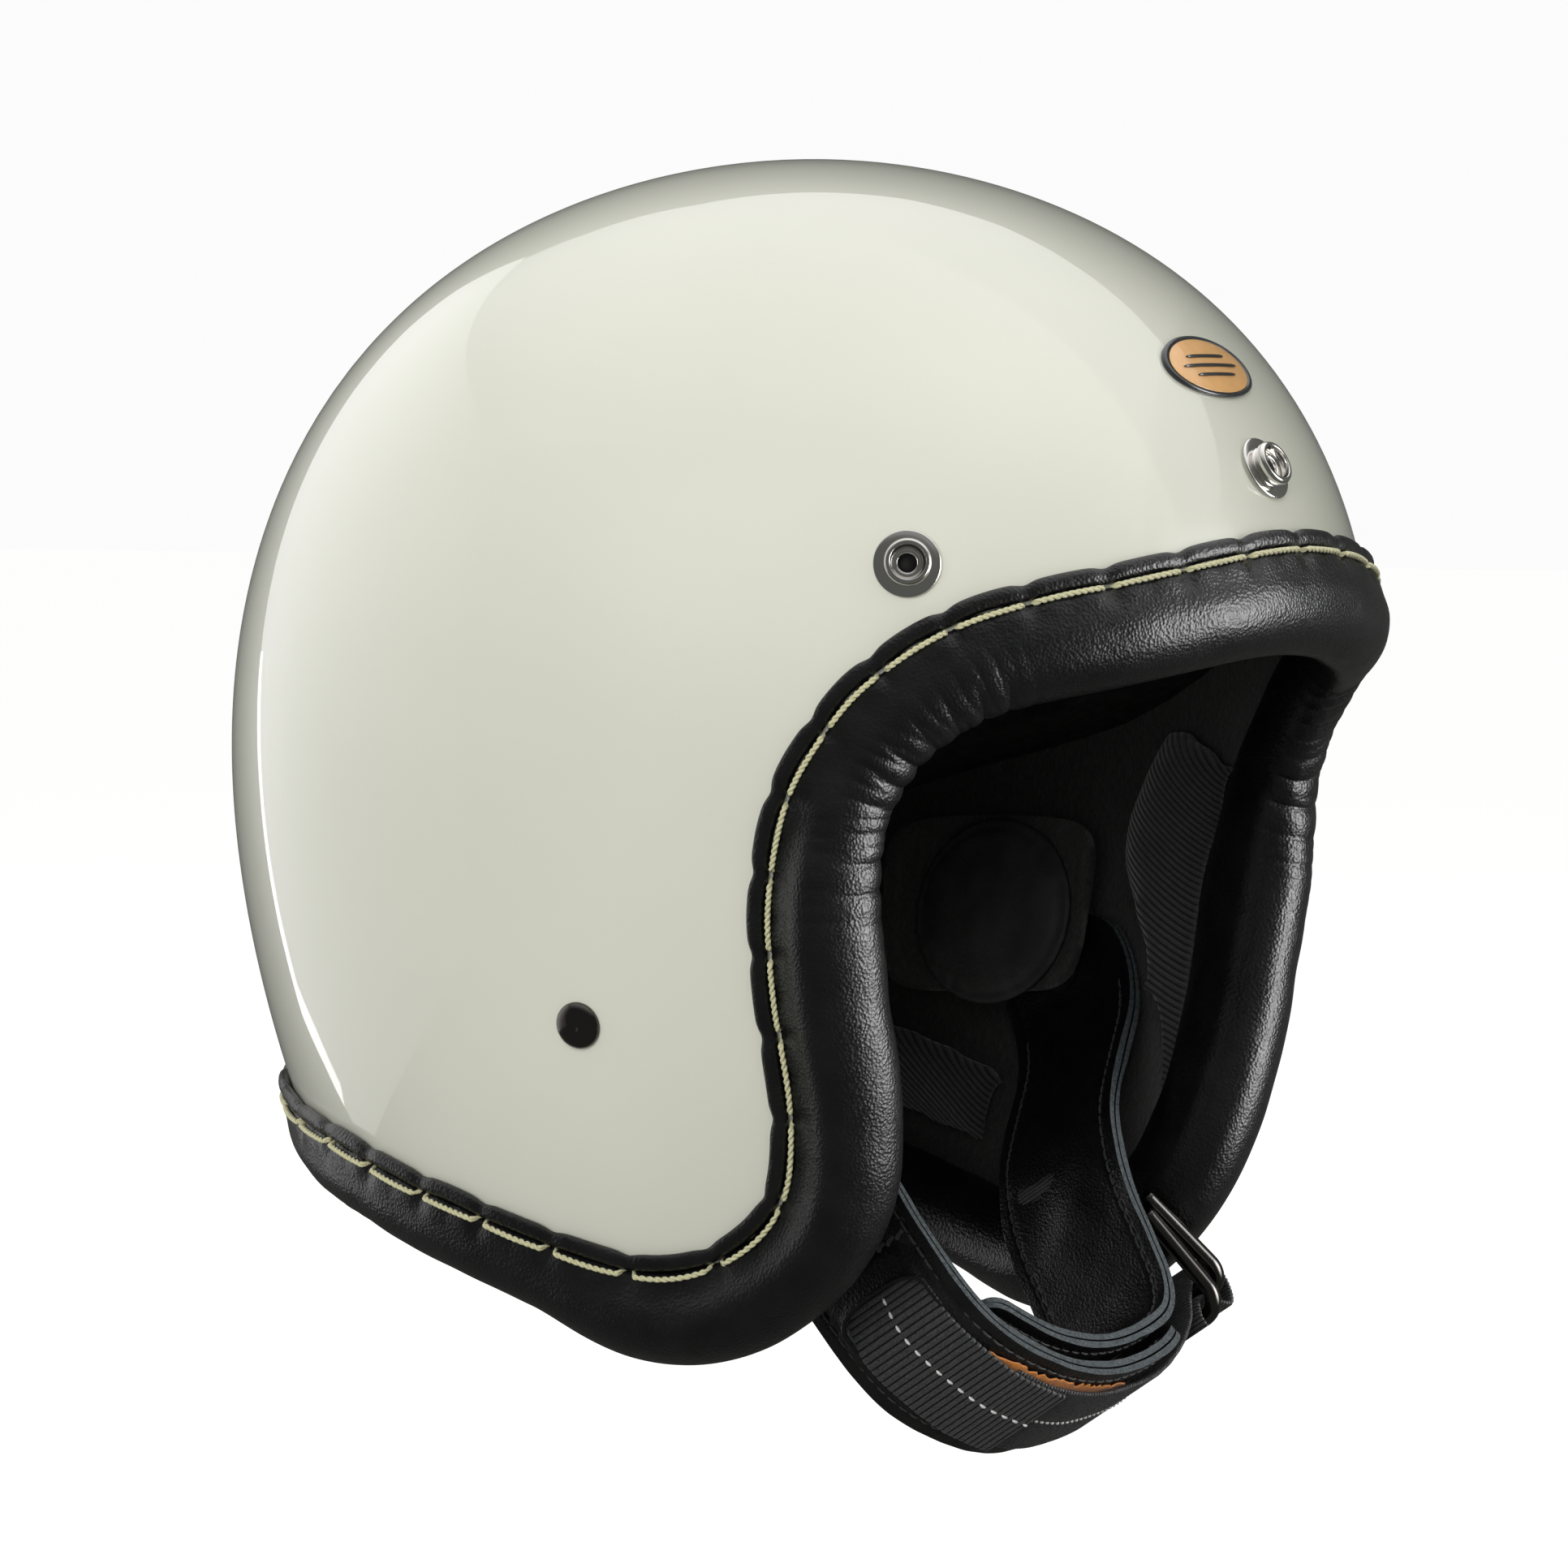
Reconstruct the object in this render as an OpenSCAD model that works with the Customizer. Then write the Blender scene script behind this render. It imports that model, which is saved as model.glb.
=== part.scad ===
// Open face motorcycle helmet with a leather rolled edge and a leather chin strap.
// Frame: origin at the centre of the head, on the level of the ears. -Y is the front,
// -X is the wearer's right, +Z is up. All sizes are in millimetres.

/* [Shell] */
// Half width of the shell at the level of the ears
shell_half_width = 114.6; // [110:0.1:120]
// Reach of the shell from the head's centre to the front
shell_front = 141; // [137:0.1:146]
// Reach of the shell from the head's centre to the back
shell_back = 132.2; // [128:0.1:138]
// Height of the crown above the head's centre
shell_top = 115.8; // [112:0.1:121]
// Thickness of the fibreglass shell
shell_thickness = 3.5; // [3:0.1:4.2]
// How far the shell's edge reaches into the edge roll
shell_tuck = 10; // [7:0.5:10.5]

/* [Edge roll] */
// Thickness of the roll's leather
leather_thickness = 1.2; // [0.9:0.1:1.5]
// Clearance between glued and stitched layers
layer_gap = 0.15; // [0.1:0.05:0.25]
// Half width of the piping bead beside the roll
bead_half_width = 2.1; // [1.6:0.1:2.2]
// Half height of the piping bead
bead_half_height = 1.5; // [1:0.1:1.9]
// Diameter of the waxed seam thread
thread_d = 1.2; // [0.8:0.1:1.4]

/* [Liner] */
// Depth of the impact liner's inner face below the shell's outer face
eps_depth = 28; // [22:1:30]
// Thickness of the comfort pads over the impact liner
comfort_thickness = 7; // [5:0.5:9]
// Depth of the cheek pads below the shell's outer face
cheek_depth = 25; // [18:1:27]
// Depth of the neck pad below the shell's outer face
neck_depth = 21; // [16:1:25]
// Diameter of the leather patch over each ear
ear_patch_d = 44; // [36:1:46]

/* [Snap studs] */
// Diameter of the stud's base flange
snap_flange_d = 15; // [14:0.5:16]
// Diameter of the stud that a snap socket grips
snap_stud_d = 10.4; // [10:0.1:10.8]
// Height of a stud above the shell
snap_height = 4; // [3.6:0.1:4.6]
// Outer diameter of the tubular eyelet
snap_eyelet_d = 6.2; // [5.8:0.1:6.6]

/* [Strap rivets] */
// Diameter of the domed rivet cap
rivet_cap_d = 10.6; // [9:0.2:12]
// Diameter of the rivet's shank
rivet_shank_d = 4.8; // [4:0.1:5.4]
// Diameter of the strap's hole round the shank
strap_hole_d = 6.4; // [6.2:0.1:7.4]

/* [Chin strap] */
// Forward lean of the hanging strap loop
strap_lean = 32; // [28:1:34]
// Width of the leather straps
strap_width = 37; // [34:1:40]
// Thickness of one leather ply
ply_thickness = 1.7; // [1.4:0.1:1.8]
// Width of the webbing
webbing_width = 25; // [22:1:26]
// Thickness of the webbing
webbing_thickness = 1.3; // [1:0.1:1.4]

/* [D rings] */
// Wire diameter of the two D rings
ring_wire_d = 3.8; // [3.4:0.1:4.2]
// Inside width of a D ring
ring_inside = 28; // [26:0.5:30]
// Distance from the bar's centre to the bow's centre
ring_height = 27; // [25:0.5:29]

/* [Badge] */
// Length of the oval front badge
badge_length = 32; // [26:1:36]
// Height of the oval front badge
badge_height = 17.5; // [14:0.5:20]
// Width of the badge's rim
badge_rim = 0.9; // [0.6:0.1:1.5]

/* [Hidden] */
$fn = 48;

// ---- shell surface -------------------------------------------------------------------
// The shell is one closed formula: an egg whose reach below the head's centre is
// shell_below, made fuller or flatter by five fullness terms.
shell_below = 208.9;
full_yz = -0.054;
full_xxz = 0.08;
full_yyz = -0.112;
full_yyzz = -0.14;
full_xxzzz = -0.107;

function unit(v) = v / norm(v);

// Direction at bearing a (0 front, 90 wearer's right) and elevation e
function bearing(a, e) = [-sin(a) * cos(e), -cos(a) * cos(e), sin(e)];

// Reach of the shell's outer face along the unit direction d
function reach(d) =
    let (x = d[0], y = d[1], z = d[2],
         b = (shell_front + shell_back) / 2 + (shell_back - shell_front) / 2 * y,
         c = (shell_top + shell_below) / 2 + (shell_top - shell_below) / 2 * z,
         egg = 1 / sqrt(pow(x / shell_half_width, 2) + pow(y / b, 2) + pow(z / c, 2)))
    egg * (1 + full_yz * y * z + full_xxz * x * x * z + full_yyz * y * y * z
             + full_yyzz * y * y * z * z + full_xxzzz * x * x * z * z * z);

// Point at a depth below the shell's outer face, in the direction of v
function under(v, depth = 0) = let (d = unit(v)) d * (reach(d) - depth);

// Outward normal of the shell's outer face in the direction of v
normal_step = 0.01;
function outward(v) =
    let (d = unit(v),
         e1 = unit(cross(d, abs(d[2]) < 0.9 ? [0, 0, 1] : [1, 0, 0])),
         e2 = cross(d, e1))
    unit(cross(under(d + normal_step * e1) - under(d - normal_step * e1),
               under(d + normal_step * e2) - under(d - normal_step * e2)));

// Point between two directions, at the part t of the arc
function between(p, q, t) =
    let (w = acos(p * q)) (sin((1 - t) * w) * p + sin(t * w) * q) / sin(w);

// Smooth curve through a list of points, closed or open
function spline(p0, p1, p2, p3, t) =
    0.5 * (2 * p1 + (p2 - p0) * t + (2 * p0 - 5 * p1 + 4 * p2 - p3) * t * t
           + (3 * p1 - p0 - 3 * p2 + p3) * t * t * t);
function closed_curve(p, steps) =
    let (n = len(p))
    [for (i = [0:n - 1], k = [0:steps - 1])
        spline(p[(i + n - 1) % n], p[i], p[(i + 1) % n], p[(i + 2) % n], k / steps)];
function open_curve(p, steps) =
    let (n = len(p))
    concat([for (i = [0:n - 2], k = [0:steps - 1])
        spline(p[max(i - 1, 0)], p[i], p[i + 1], p[min(i + 2, n - 1)], k / steps)],
        [p[n - 1]]);

// A half outline given as bearing and elevation, completed on the other side
function both_sides(half) =
    concat([for (p = half) bearing(p[0], p[1])],
           [for (i = [len(half) - 2:-1:1]) bearing(-half[i][0], half[i][1])]);

// ---- the seam line round the face opening and the bottom edge -------------------------
// From the brow down beside the cheek, round the lower corner and back to the nape
seam_half = [[0, 13.6], [19.9, 11.5], [37.4, 8.2], [48, 2], [54.3, -6], [57.5, -13.5],
             [59, -23.5], [58.4, -33], [56.9, -41.6], [57.4, -48.3], [62.6, -52.7],
             [73.6, -55], [92.5, -52.8], [109, -49.2], [131, -43.6], [156, -38.4],
             [180, -36.2]];
seam_steps = 3;
seam = [for (v = closed_curve(both_sides(seam_half), seam_steps)) unit(v)];
stations = len(seam);

// At each station: the point on the shell, the outward normal, and the direction that
// runs along the shell towards the opening
function seam_frame(i) =
    let (here = under(seam[i]),
         along = unit(under(seam[(i + 1) % stations])
                      - under(seam[(i + stations - 1) % stations])),
         out = outward(seam[i]))
    [here, out, unit(cross(out, along))];
frames = [for (i = [0:stations - 1]) seam_frame(i)];

// Point at station i, p along the shell past the seam line and q outward from it
function seam_point(i, p, q) =
    under(frames[i][0] + p * frames[i][2]) + q * frames[i][1];
// The same, with the depth measured towards the head's centre
function seam_depth(i, p, depth) = under(frames[i][0] + p * frames[i][2], depth);

// ---- closed skins ---------------------------------------------------------------------
// A bowl between an outer and an inner set of rings, each a pole and rows of n points
module bowl(outer_pole, outer, inner_pole, inner) {
    rows = len(outer);
    n = len(outer[0]);
    points = concat([outer_pole], [for (r = outer, p = r) p],
                    [inner_pole], [for (r = inner, p = r) p]);
    inside = 1 + rows * n;
    faces = concat(
        [for (i = [0:n - 1]) [0, 1 + i, 1 + (i + 1) % n]],
        [for (r = [0:rows - 2], i = [0:n - 1])
            let (a = 1 + r * n + i, b = 1 + r * n + (i + 1) % n) each
            [[a, a + n, b + n], [a, b + n, b]]],
        [for (i = [0:n - 1]) [inside, inside + 1 + (i + 1) % n, inside + 1 + i]],
        [for (r = [0:rows - 2], i = [0:n - 1])
            let (a = inside + 1 + r * n + i, b = inside + 1 + r * n + (i + 1) % n) each
            [[a, b + n, a + n], [a, b, b + n]]],
        [for (i = [0:n - 1])
            let (k = (i + 1) % n, a = 1 + (rows - 1) * n + i, b = 1 + (rows - 1) * n + k,
                 c = inside + a, d = inside + b) each
            [[a, c, d], [a, d, b]]]);
    polyhedron(points, faces, convexity = 8);
}

// A pad between an outer and an inner grid of rows of points
module pad(outer, inner) {
    rows = len(outer);
    n = len(outer[0]);
    half = rows * n;
    points = concat([for (r = outer, p = r) p], [for (r = inner, p = r) p]);
    cells = [for (r = [0:rows - 2], i = [0:n - 2]) r * n + i];
    left = [for (r = [0:rows - 1]) r * n];
    right = [for (r = [0:rows - 1]) r * n + n - 1];
    faces = concat(
        [for (a = cells) each [[a, a + n, a + n + 1], [a, a + n + 1, a + 1]]],
        [for (a = cells) let (b = a + half) each
            [[b, b + n + 1, b + n], [b, b + 1, b + n + 1]]],
        [for (i = [0:n - 2]) each
            [[i, i + 1, half + i + 1], [i, half + i + 1, half + i]]],
        [for (i = [0:n - 2]) let (a = half - n + i) each
            [[a, a + half, a + half + 1], [a, a + half + 1, a + 1]]],
        [for (r = [0:rows - 2]) let (a = left[r], b = left[r + 1]) each
            [[a, a + half, b + half], [a, b + half, b]]],
        [for (r = [0:rows - 2]) let (a = right[r], b = right[r + 1]) each
            [[a, b, b + half], [a, b + half, a + half]]]);
    polyhedron(points, faces, convexity = 6);
}

// A closed section of [p, q] points carried round the seam line
module round_the_edge(section) {
    m = len(section);
    points = [for (i = [0:stations - 1], s = section) seam_point(i, s[0], s[1])];
    faces = [for (i = [0:stations - 1], k = [0:m - 1])
        let (j = (i + 1) % stations, l = (k + 1) % m,
             a = i * m + k, b = i * m + l, c = j * m + l, d = j * m + k) each
        [[a, b, c], [a, c, d]]];
    polyhedron(points, faces, convexity = 8);
}

// Stands children on the shell in direction v, with their +Z along the outward normal
module on_shell(v) {
    n = outward(v);
    translate(under(v)) rotate([0, acos(n[2]), atan2(n[1], n[0])]) children();
}

// ---- shell and liner ------------------------------------------------------------------
pole = bearing(180, 53);
shell_rows = 13;
eps_rows = 10;
crown_rows = 5;

// Places of the fittings
snap_center_el = 19.7;
snap_side = [42.7, 11.9];
badge_el = 31;
snap_dirs = [bearing(0, snap_center_el), bearing(snap_side[0], snap_side[1]),
             bearing(-snap_side[0], snap_side[1])];
rivet_dirs = [bearing(81.1, -36.3), bearing(-81.1, -36.3)];
fitting_gap = 0.05;

module shell() {
    edge = [for (i = [0:stations - 1]) unit(seam_depth(i, shell_tuck, 0))];
    grid = function (depth) [for (r = [1:shell_rows])
        [for (e = edge) under(between(pole, e, r / shell_rows), depth)]];
    color("ivory") difference() {
        bowl(under(pole), grid(0), under(pole, shell_thickness), grid(shell_thickness));
        for (v = snap_dirs) on_shell(v)
            cylinder(d = snap_eyelet_d - 0.6, h = 20, center = true);
        for (v = rivet_dirs) on_shell(v)
            cylinder(d = rivet_shank_d + 0.3, h = 20, center = true);
    }
}

// The impact liner stops above the ears and the strap rivets
liner_half = [[0, 17.5], [20, 16], [36, 13], [49, 8], [58, 3], [66, -2], [78, -8],
              [92, -12], [108, -16], [125, -22], [142, -26], [160, -26], [180, -25]];
liner_edge = [for (v = closed_curve(both_sides(liner_half), 2)) unit(v)];
liner_gap = 0.9;
// Pockets in the liner's outer face for the inner ends of the snap studs
snap_pocket_d = 14;
snap_pocket_depth = 7;

module eps_liner() {
    grid = function (depth) [for (r = [1:eps_rows])
        [for (e = liner_edge) under(between(pole, e, r / eps_rows), depth)]];
    color("dimgray") difference() {
        bowl(under(pole, shell_thickness + liner_gap), grid(shell_thickness + liner_gap),
             under(pole, eps_depth), grid(eps_depth));
        for (v = snap_dirs) on_shell(v) translate([0, 0, -snap_pocket_depth])
            cylinder(d = snap_pocket_d, h = snap_pocket_depth);
    }
}

// The quilted crown pad covers the inside of the impact liner, above the forehead pad
comfort_top = eps_depth + 1.2;
crown_reach = 0.74;
module crown_pad() {
    rim = [for (i = [0:2:len(liner_edge) - 1]) liner_edge[i]];
    grid = function (depth) [for (r = [1:crown_rows])
        let (t = crown_reach * r / crown_rows,
             d = r == crown_rows ? (depth + comfort_top) / 2 : depth)
        [for (e = rim) under(between(pole, e, t), d)]];
    color([0.12, 0.11, 0.1])
        bowl(under(pole, comfort_top), grid(comfort_top),
             under(pole, comfort_top + comfort_thickness),
             grid(comfort_top + comfort_thickness));
}

// Share of a pad's full thickness at the parts u and v across it
edge_share = 0.35;
function puff(u, v) = edge_share + (1 - edge_share) * sqrt(sin(180 * u) * sin(180 * v));

// A pad between two bearings and two elevations, at two depths
module bearing_pad(a0, a1, e0, e1, top, bottom, nu, nv) {
    grid = function (inner) [for (j = [0:nv]) [for (i = [0:nu])
        under(bearing(a0 + (a1 - a0) * i / nu, e0 + (e1 - e0) * j / nv),
              inner ? top + (bottom - top) * puff(i / nu, j / nv) : top)]];
    pad(grid(false), grid(true));
}

// A pad that follows the seam line between two stations, from pad_front past it to a reach
// behind it that is given at parts of its length
module edge_pad(s0, s1, reach_table, top, bottom, nu, nv) {
    p1 = function (u) lookup(u, reach_table);
    grid = function (inner) [for (j = [0:nv]) [for (i = [0:nu])
        seam_depth((s0 + round((s1 - s0) * i / nu)) % stations,
                   pad_front + (p1(i / nu) - pad_front) * j / nv,
                   inner ? top + (bottom - top) * puff(i / nu, j / nv) : top)]];
    pad(grid(false), grid(true));
}

module forehead_pad() {
    color([0.13, 0.12, 0.11])
        bearing_pad(-46, 46, 34, 10, comfort_top, comfort_top + comfort_thickness + 3, 14, 4);
}

cheek_stations = [14, 28];
neck_stations = [36, 60];
pad_top = shell_thickness + 1.3;
pad_front = 4;

// The cheek pad's back edge stays in front of the strap
cheek_reach = [[0, 1.5], [0.22, 1.5], [0.45, -5], [0.65, -22], [1, -24]];
module cheek_pad_right() {
    color([0.1, 0.1, 0.1]) edge_pad(cheek_stations[1], cheek_stations[0], cheek_reach,
                                    pad_top, cheek_depth, 14, 4);
}

module cheek_pad_left() {
    mirror([1, 0, 0]) cheek_pad_right();
}

module neck_pad() {
    color([0.09, 0.09, 0.09]) edge_pad(neck_stations[1], neck_stations[0],
                                       [[0, -19], [1, -19]], pad_top, neck_depth, 12, 3);
}

// The cloth lining of the ear pocket lies inboard of the strap rivet
lining_depth = 15.5;
module ear_lining_right() {
    color([0.1, 0.1, 0.1])
        bearing_pad(74, 110, -20, -39, lining_depth, lining_depth + 3, 8, 4);
}

module ear_lining_left() {
    mirror([1, 0, 0]) ear_lining_right();
}

// The domed leather patch over the ear pocket lining
ear_patch_dir = bearing(90, -31);
ear_patch_lift = 20.5;
ear_dome_h = 6;
ear_patch_edge = 1;
module ear_patch_right() {
    r = ear_patch_d / 2;
    color([0.16, 0.16, 0.16]) on_shell(ear_patch_dir)
        translate([0, 0, -ear_patch_lift - ear_dome_h]) rotate_extrude()
            polygon(concat([for (a = [0:15:90])
                        [r * sin(a), (ear_dome_h - ear_patch_edge) * (1 - cos(a))]],
                    [[r, ear_dome_h], [0, ear_dome_h]]));
}

module ear_patch_left() {
    mirror([1, 0, 0]) ear_patch_right();
}

// ---- edge roll ------------------------------------------------------------------------
// Outline of the roll from its outer flap over the nose to its inner flap, as distances
// past the seam line and outward from the shell
roll = [[4.7, layer_gap], [4.7, 1.3], [9, 3.3], [15, 4.4], [21, 2.8], [25.6, -1.6],
        [26.6, -7], [23.2, -11.4], [16, -13.6], [9, -12.6], [4.7, -8.6],
        [4.7, -shell_thickness - 0.4]];
slot_end = 11.8;
slot_floor = -shell_thickness - 0.4;

// The same outline moved inward by t
function inset(path, t) =
    let (last = len(path) - 1)
    [for (i = [0:last])
        let (s = unit(path[min(i + 1, last)] - path[max(i - 1, 0)]))
        (i == 0 || i == last) ? path[i] + [t, 0] : path[i] + t * [s[1], -s[0]]];
function reversed(p) = [for (i = [len(p) - 1:-1:0]) p[i]];

module edge_roll_leather() {
    color([0.12, 0.12, 0.12])
        round_the_edge(concat(roll, reversed(inset(roll, leather_thickness))));
}

// The foam core fills the leather and grips the shell's edge with a slot
core_start = 6.6;
core_inner_edge = 3.2;
module edge_roll_core() {
    skin = inset(roll, leather_thickness + layer_gap);
    color([0.25, 0.25, 0.27])
        round_the_edge(concat([[core_start, layer_gap]],
            [for (i = [2:len(roll) - 3]) skin[i]],
            [[core_start, skin[len(roll) - 3][1] + core_inner_edge],
             [core_start, slot_floor], [slot_end, slot_floor], [slot_end, layer_gap]]));
}

// Distance of the bead past the seam line
bead_place = 2.2;
module piping_bead() {
    color([0.14, 0.14, 0.14]) round_the_edge([for (a = [0:45:315])
        [bead_place + bead_half_width * sin(a),
         layer_gap + bead_half_height + bead_half_height * cos(a)]]);
}

// Distance of the thread past the seam line and its height over the shell
thread_place = 5.4;
thread_height = 3.1;
module seam_thread() {
    color("wheat") round_the_edge([for (a = [0:72:288])
        [thread_place + thread_d / 2 * sin(a), thread_height + thread_d / 2 * cos(a)]]);
}

// ---- snap studs -----------------------------------------------------------------------
snap_flange_h = 0.7;
washer_top = shell_thickness + 0.9;
washer_h = 1;
washer_d = 11;
// Wall of the stud's lip, bore of the eyelet and how far the eyelet reaches past the washer
lip_wall = 1.3;
eyelet_bore_r = 1.95;
eyelet_tail = 1.6;

module snap_studs() {
    r_lip = snap_stud_d / 2;
    r_hole = snap_eyelet_d / 2 + 0.02;
    color("silver") for (v = snap_dirs) on_shell(v) translate([0, 0, fitting_gap])
        rotate_extrude() polygon([[r_hole, 0], [snap_flange_d / 2 - 0.4, 0],
            [snap_flange_d / 2, 0.35], [snap_flange_d / 2 - 0.3, snap_flange_h],
            [r_lip - 0.6, snap_flange_h], [r_lip - 0.6, snap_height - 2.4],
            [r_lip, snap_height - 2], [r_lip, snap_height - 0.5],
            [r_lip - 0.5, snap_height], [r_lip - lip_wall, snap_height],
            [r_lip - lip_wall, snap_flange_h + 0.4], [r_hole, snap_flange_h + 0.4]]);
}

module snap_eyelets() {
    r_tube = snap_eyelet_d / 2 - 0.45;
    lip_z = snap_flange_h + 0.5 + fitting_gap;
    color("gainsboro") for (v = snap_dirs) on_shell(v) rotate_extrude() difference() {
        union() {
            translate([0, -washer_top - eyelet_tail])
                square([r_tube, washer_top + eyelet_tail + lip_z]);
            translate([0, lip_z]) square([snap_eyelet_d / 2 + 0.6, 0.8]);
            translate([0, -washer_top - eyelet_tail]) square([snap_eyelet_d / 2 + 0.5, 0.5]);
        }
        translate([-1, -washer_top - 3]) square([1 + eyelet_bore_r, washer_top + 12]);
    }
}

module snap_washers() {
    color("darkgray") for (v = snap_dirs) on_shell(v)
        translate([0, 0, -washer_top - washer_h])
        difference() {
            cylinder(d = washer_d, h = washer_h);
            cylinder(d = snap_eyelet_d - 0.6, h = 4 * washer_h, center = true);
        }
}

// ---- strap rivets ---------------------------------------------------------------------
// Depths below the shell's outer face: the spacer washer, the middle of the strap that
// turns on the shank, and the shank's inner head
rivet_cap_h = 2.8;
rivet_washer_top = 4.1;
rivet_washer_h = 2.8;
rivet_washer_d = 10;
strap_depth = 9.4;
rivet_head_top = 11.7;
rivet_head_h = 1.2;
rivet_head_d = 10;
rivet_socket_depth = 1.2;

module rivet_caps() {
    r = rivet_cap_d / 2;
    ball_r = (r * r + rivet_cap_h * rivet_cap_h) / (2 * rivet_cap_h);
    color([0.35, 0.34, 0.33]) for (v = rivet_dirs) on_shell(v)
        translate([0, 0, fitting_gap]) difference() {
            rotate_extrude() intersection() {
                translate([0, rivet_cap_h - ball_r]) circle(ball_r, $fn = 96);
                square([r, rivet_cap_h]);
            }
            cylinder(d = rivet_shank_d, h = 2 * rivet_socket_depth, center = true);
        }
}

module rivet_shanks() {
    color([0.5, 0.5, 0.5]) for (v = rivet_dirs) on_shell(v) {
        translate([0, 0, -rivet_head_top]) cylinder(d = rivet_shank_d, h = rivet_head_top + 1);
        translate([0, 0, -rivet_head_top - rivet_head_h]) cylinder(d = rivet_head_d, h = rivet_head_h);
    }
}

module rivet_washers() {
    color("gray") for (v = rivet_dirs) on_shell(v)
        translate([0, 0, -rivet_washer_top - rivet_washer_h]) difference() {
            cylinder(d = rivet_washer_d, h = rivet_washer_h);
            cylinder(d = rivet_shank_d + 0.1, h = 3 * rivet_washer_h, center = true);
        }
}

// ---- chin strap -----------------------------------------------------------------------
// The strap pieces are drawn in the plane that leans forward through both rivets: x across
// the helmet and t down the strap. They keep one width, square to that plane.
rivet_middle = under(rivet_dirs[0]) - strap_depth * outward(rivet_dirs[0]);
strap_pivot = [0, rivet_middle[1], rivet_middle[2]];

module strap_plane() {
    translate(strap_pivot) rotate([90 - strap_lean, 0, 0]) mirror([0, 1, 0]) children();
}

// A path moved sideways by a
function path_side(path, a) =
    let (last = len(path) - 1)
    [for (i = [0:last])
        let (s = unit(path[min(i + 1, last)] - path[max(i - 1, 0)]))
        path[i] + a * [-s[1], s[0]]];
route_steps = 3;

// A strip along a path, from side a to side b, with a width across the strap plane
module strip(path, a, b, width) {
    linear_extrude(width, center = true)
        polygon(concat(path_side(path, a), reversed(path_side(path, b))));
}

// Routes of the two leather straps, from above the rivet to the free end
right_route = [[-95, -12], [-92.6, 0], [-90, 9], [-83, 19], [-70, 31], [-56, 42],
    [-44.8, 54], [-42, 68], [-37.5, 84], [-30, 95.5], [-15, 104.5], [0, 108],
    [15, 107.3], [29, 104], [37.5, 99.5]];
left_route = [[95, -12], [92.6, 0], [90, 9], [83, 19], [69, 31], [55.5, 43],
    [48.3, 54], [44.6, 64.5], [43, 77], [41, 88], [34.5, 95.8], [19, 100.3],
    [4, 101.3], [-10, 98.5], [-20, 93.3], [-29.5, 86.5]];
// The webbing starts between the plies above the rivet and comes out further down
right_webbing_route = [[-94.5, -9.5], [-92.6, 0], [-90, 9], [-83, 19], [-70, 31], [-56, 42],
    [-44.8, 54], [-42.1, 67], [-40.6, 76], [-40.7, 83.5], [-38, 90], [-31.8, 97.6],
    [-23.9, 104.8], [-14.3, 109.8], [-11.5, 110.9]];
left_webbing_route = [[94.5, -9.5], [92.6, 0], [90, 9], [83, 19], [69, 31], [55.5, 43],
    [47.9, 53], [49.9, 59], [53.6, 62.4], [56, 66.2], [55.4, 70.1], [52.7, 73.8],
    [49.6, 75.4], [47.1, 73.2], [47.1, 69.2], [48.5, 65.6], [48.8, 62.8]];
// Under the chin, through both rings, back round the outer bow and over the inner bow
chin_webbing_route = [[-23.7, 103.1], [-14.3, 108.2], [0, 111.4], [15, 110.8],
    [29, 108.4], [42.5, 102.9], [51.5, 96.8], [56.3, 90.8], [61.3, 86], [66.3, 83],
    [71.3, 83.8], [73.5, 88.6], [71.2, 94], [65.2, 93], [59.5, 91.9], [56.5, 96],
    [57, 99.5]];

module webbing(route) {
    strip(open_curve(route, route_steps), -webbing_thickness / 2, webbing_thickness / 2,
          webbing_width);
}

// One leather ply beside a route's middle line, with the channel that holds the webbing
channel_gap = 0.15;
ply_gap = 0.05;
module ply(route, webbing_route, side) {
    half = webbing_thickness / 2 + channel_gap;
    difference() {
        strip(open_curve(route, route_steps), side * ply_gap, side * ply_thickness,
              strap_width);
        strip(open_curve(webbing_route, route_steps), -half, half,
              webbing_width + 4 * channel_gap);
    }
}

// The window where the webbing leaves the right strap's outer leather
window_top = 82;
window_end = 89;
window_w = webbing_width + 1.6;
window_x = -45;
window_deep = 20;

// Cuts the shank's hole out of a strap piece
cut_depth = 6;
module riveted() {
    difference() {
        strap_plane() children();
        for (v = rivet_dirs) on_shell(v) translate([0, 0, -strap_depth])
            cylinder(d = strap_hole_d, h = 2 * cut_depth, center = true);
    }
}

module right_strap_outer_leather() {
    color([0.1, 0.1, 0.1]) riveted() difference() {
        ply(right_route, right_webbing_route, 1);
        translate([window_x, window_top, -window_w / 2])
            cube([window_deep, window_end - window_top, window_w]);
    }
}

module right_strap_inner_leather() {
    color([0.12, 0.12, 0.12]) riveted() ply(right_route, right_webbing_route, -1);
}

module left_strap_outer_leather() {
    color([0.1, 0.1, 0.1]) riveted() ply(left_route, left_webbing_route, -1);
}

module left_strap_inner_leather() {
    color([0.12, 0.12, 0.12]) riveted() ply(left_route, left_webbing_route, 1);
}

module right_webbing() {
    color([0.2, 0.2, 0.2]) riveted() webbing(right_webbing_route);
}

module left_webbing() {
    color([0.2, 0.2, 0.2]) riveted() webbing(left_webbing_route);
}

module chin_webbing() {
    color([0.17, 0.17, 0.17]) strap_plane() webbing(chin_webbing_route);
}

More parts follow.
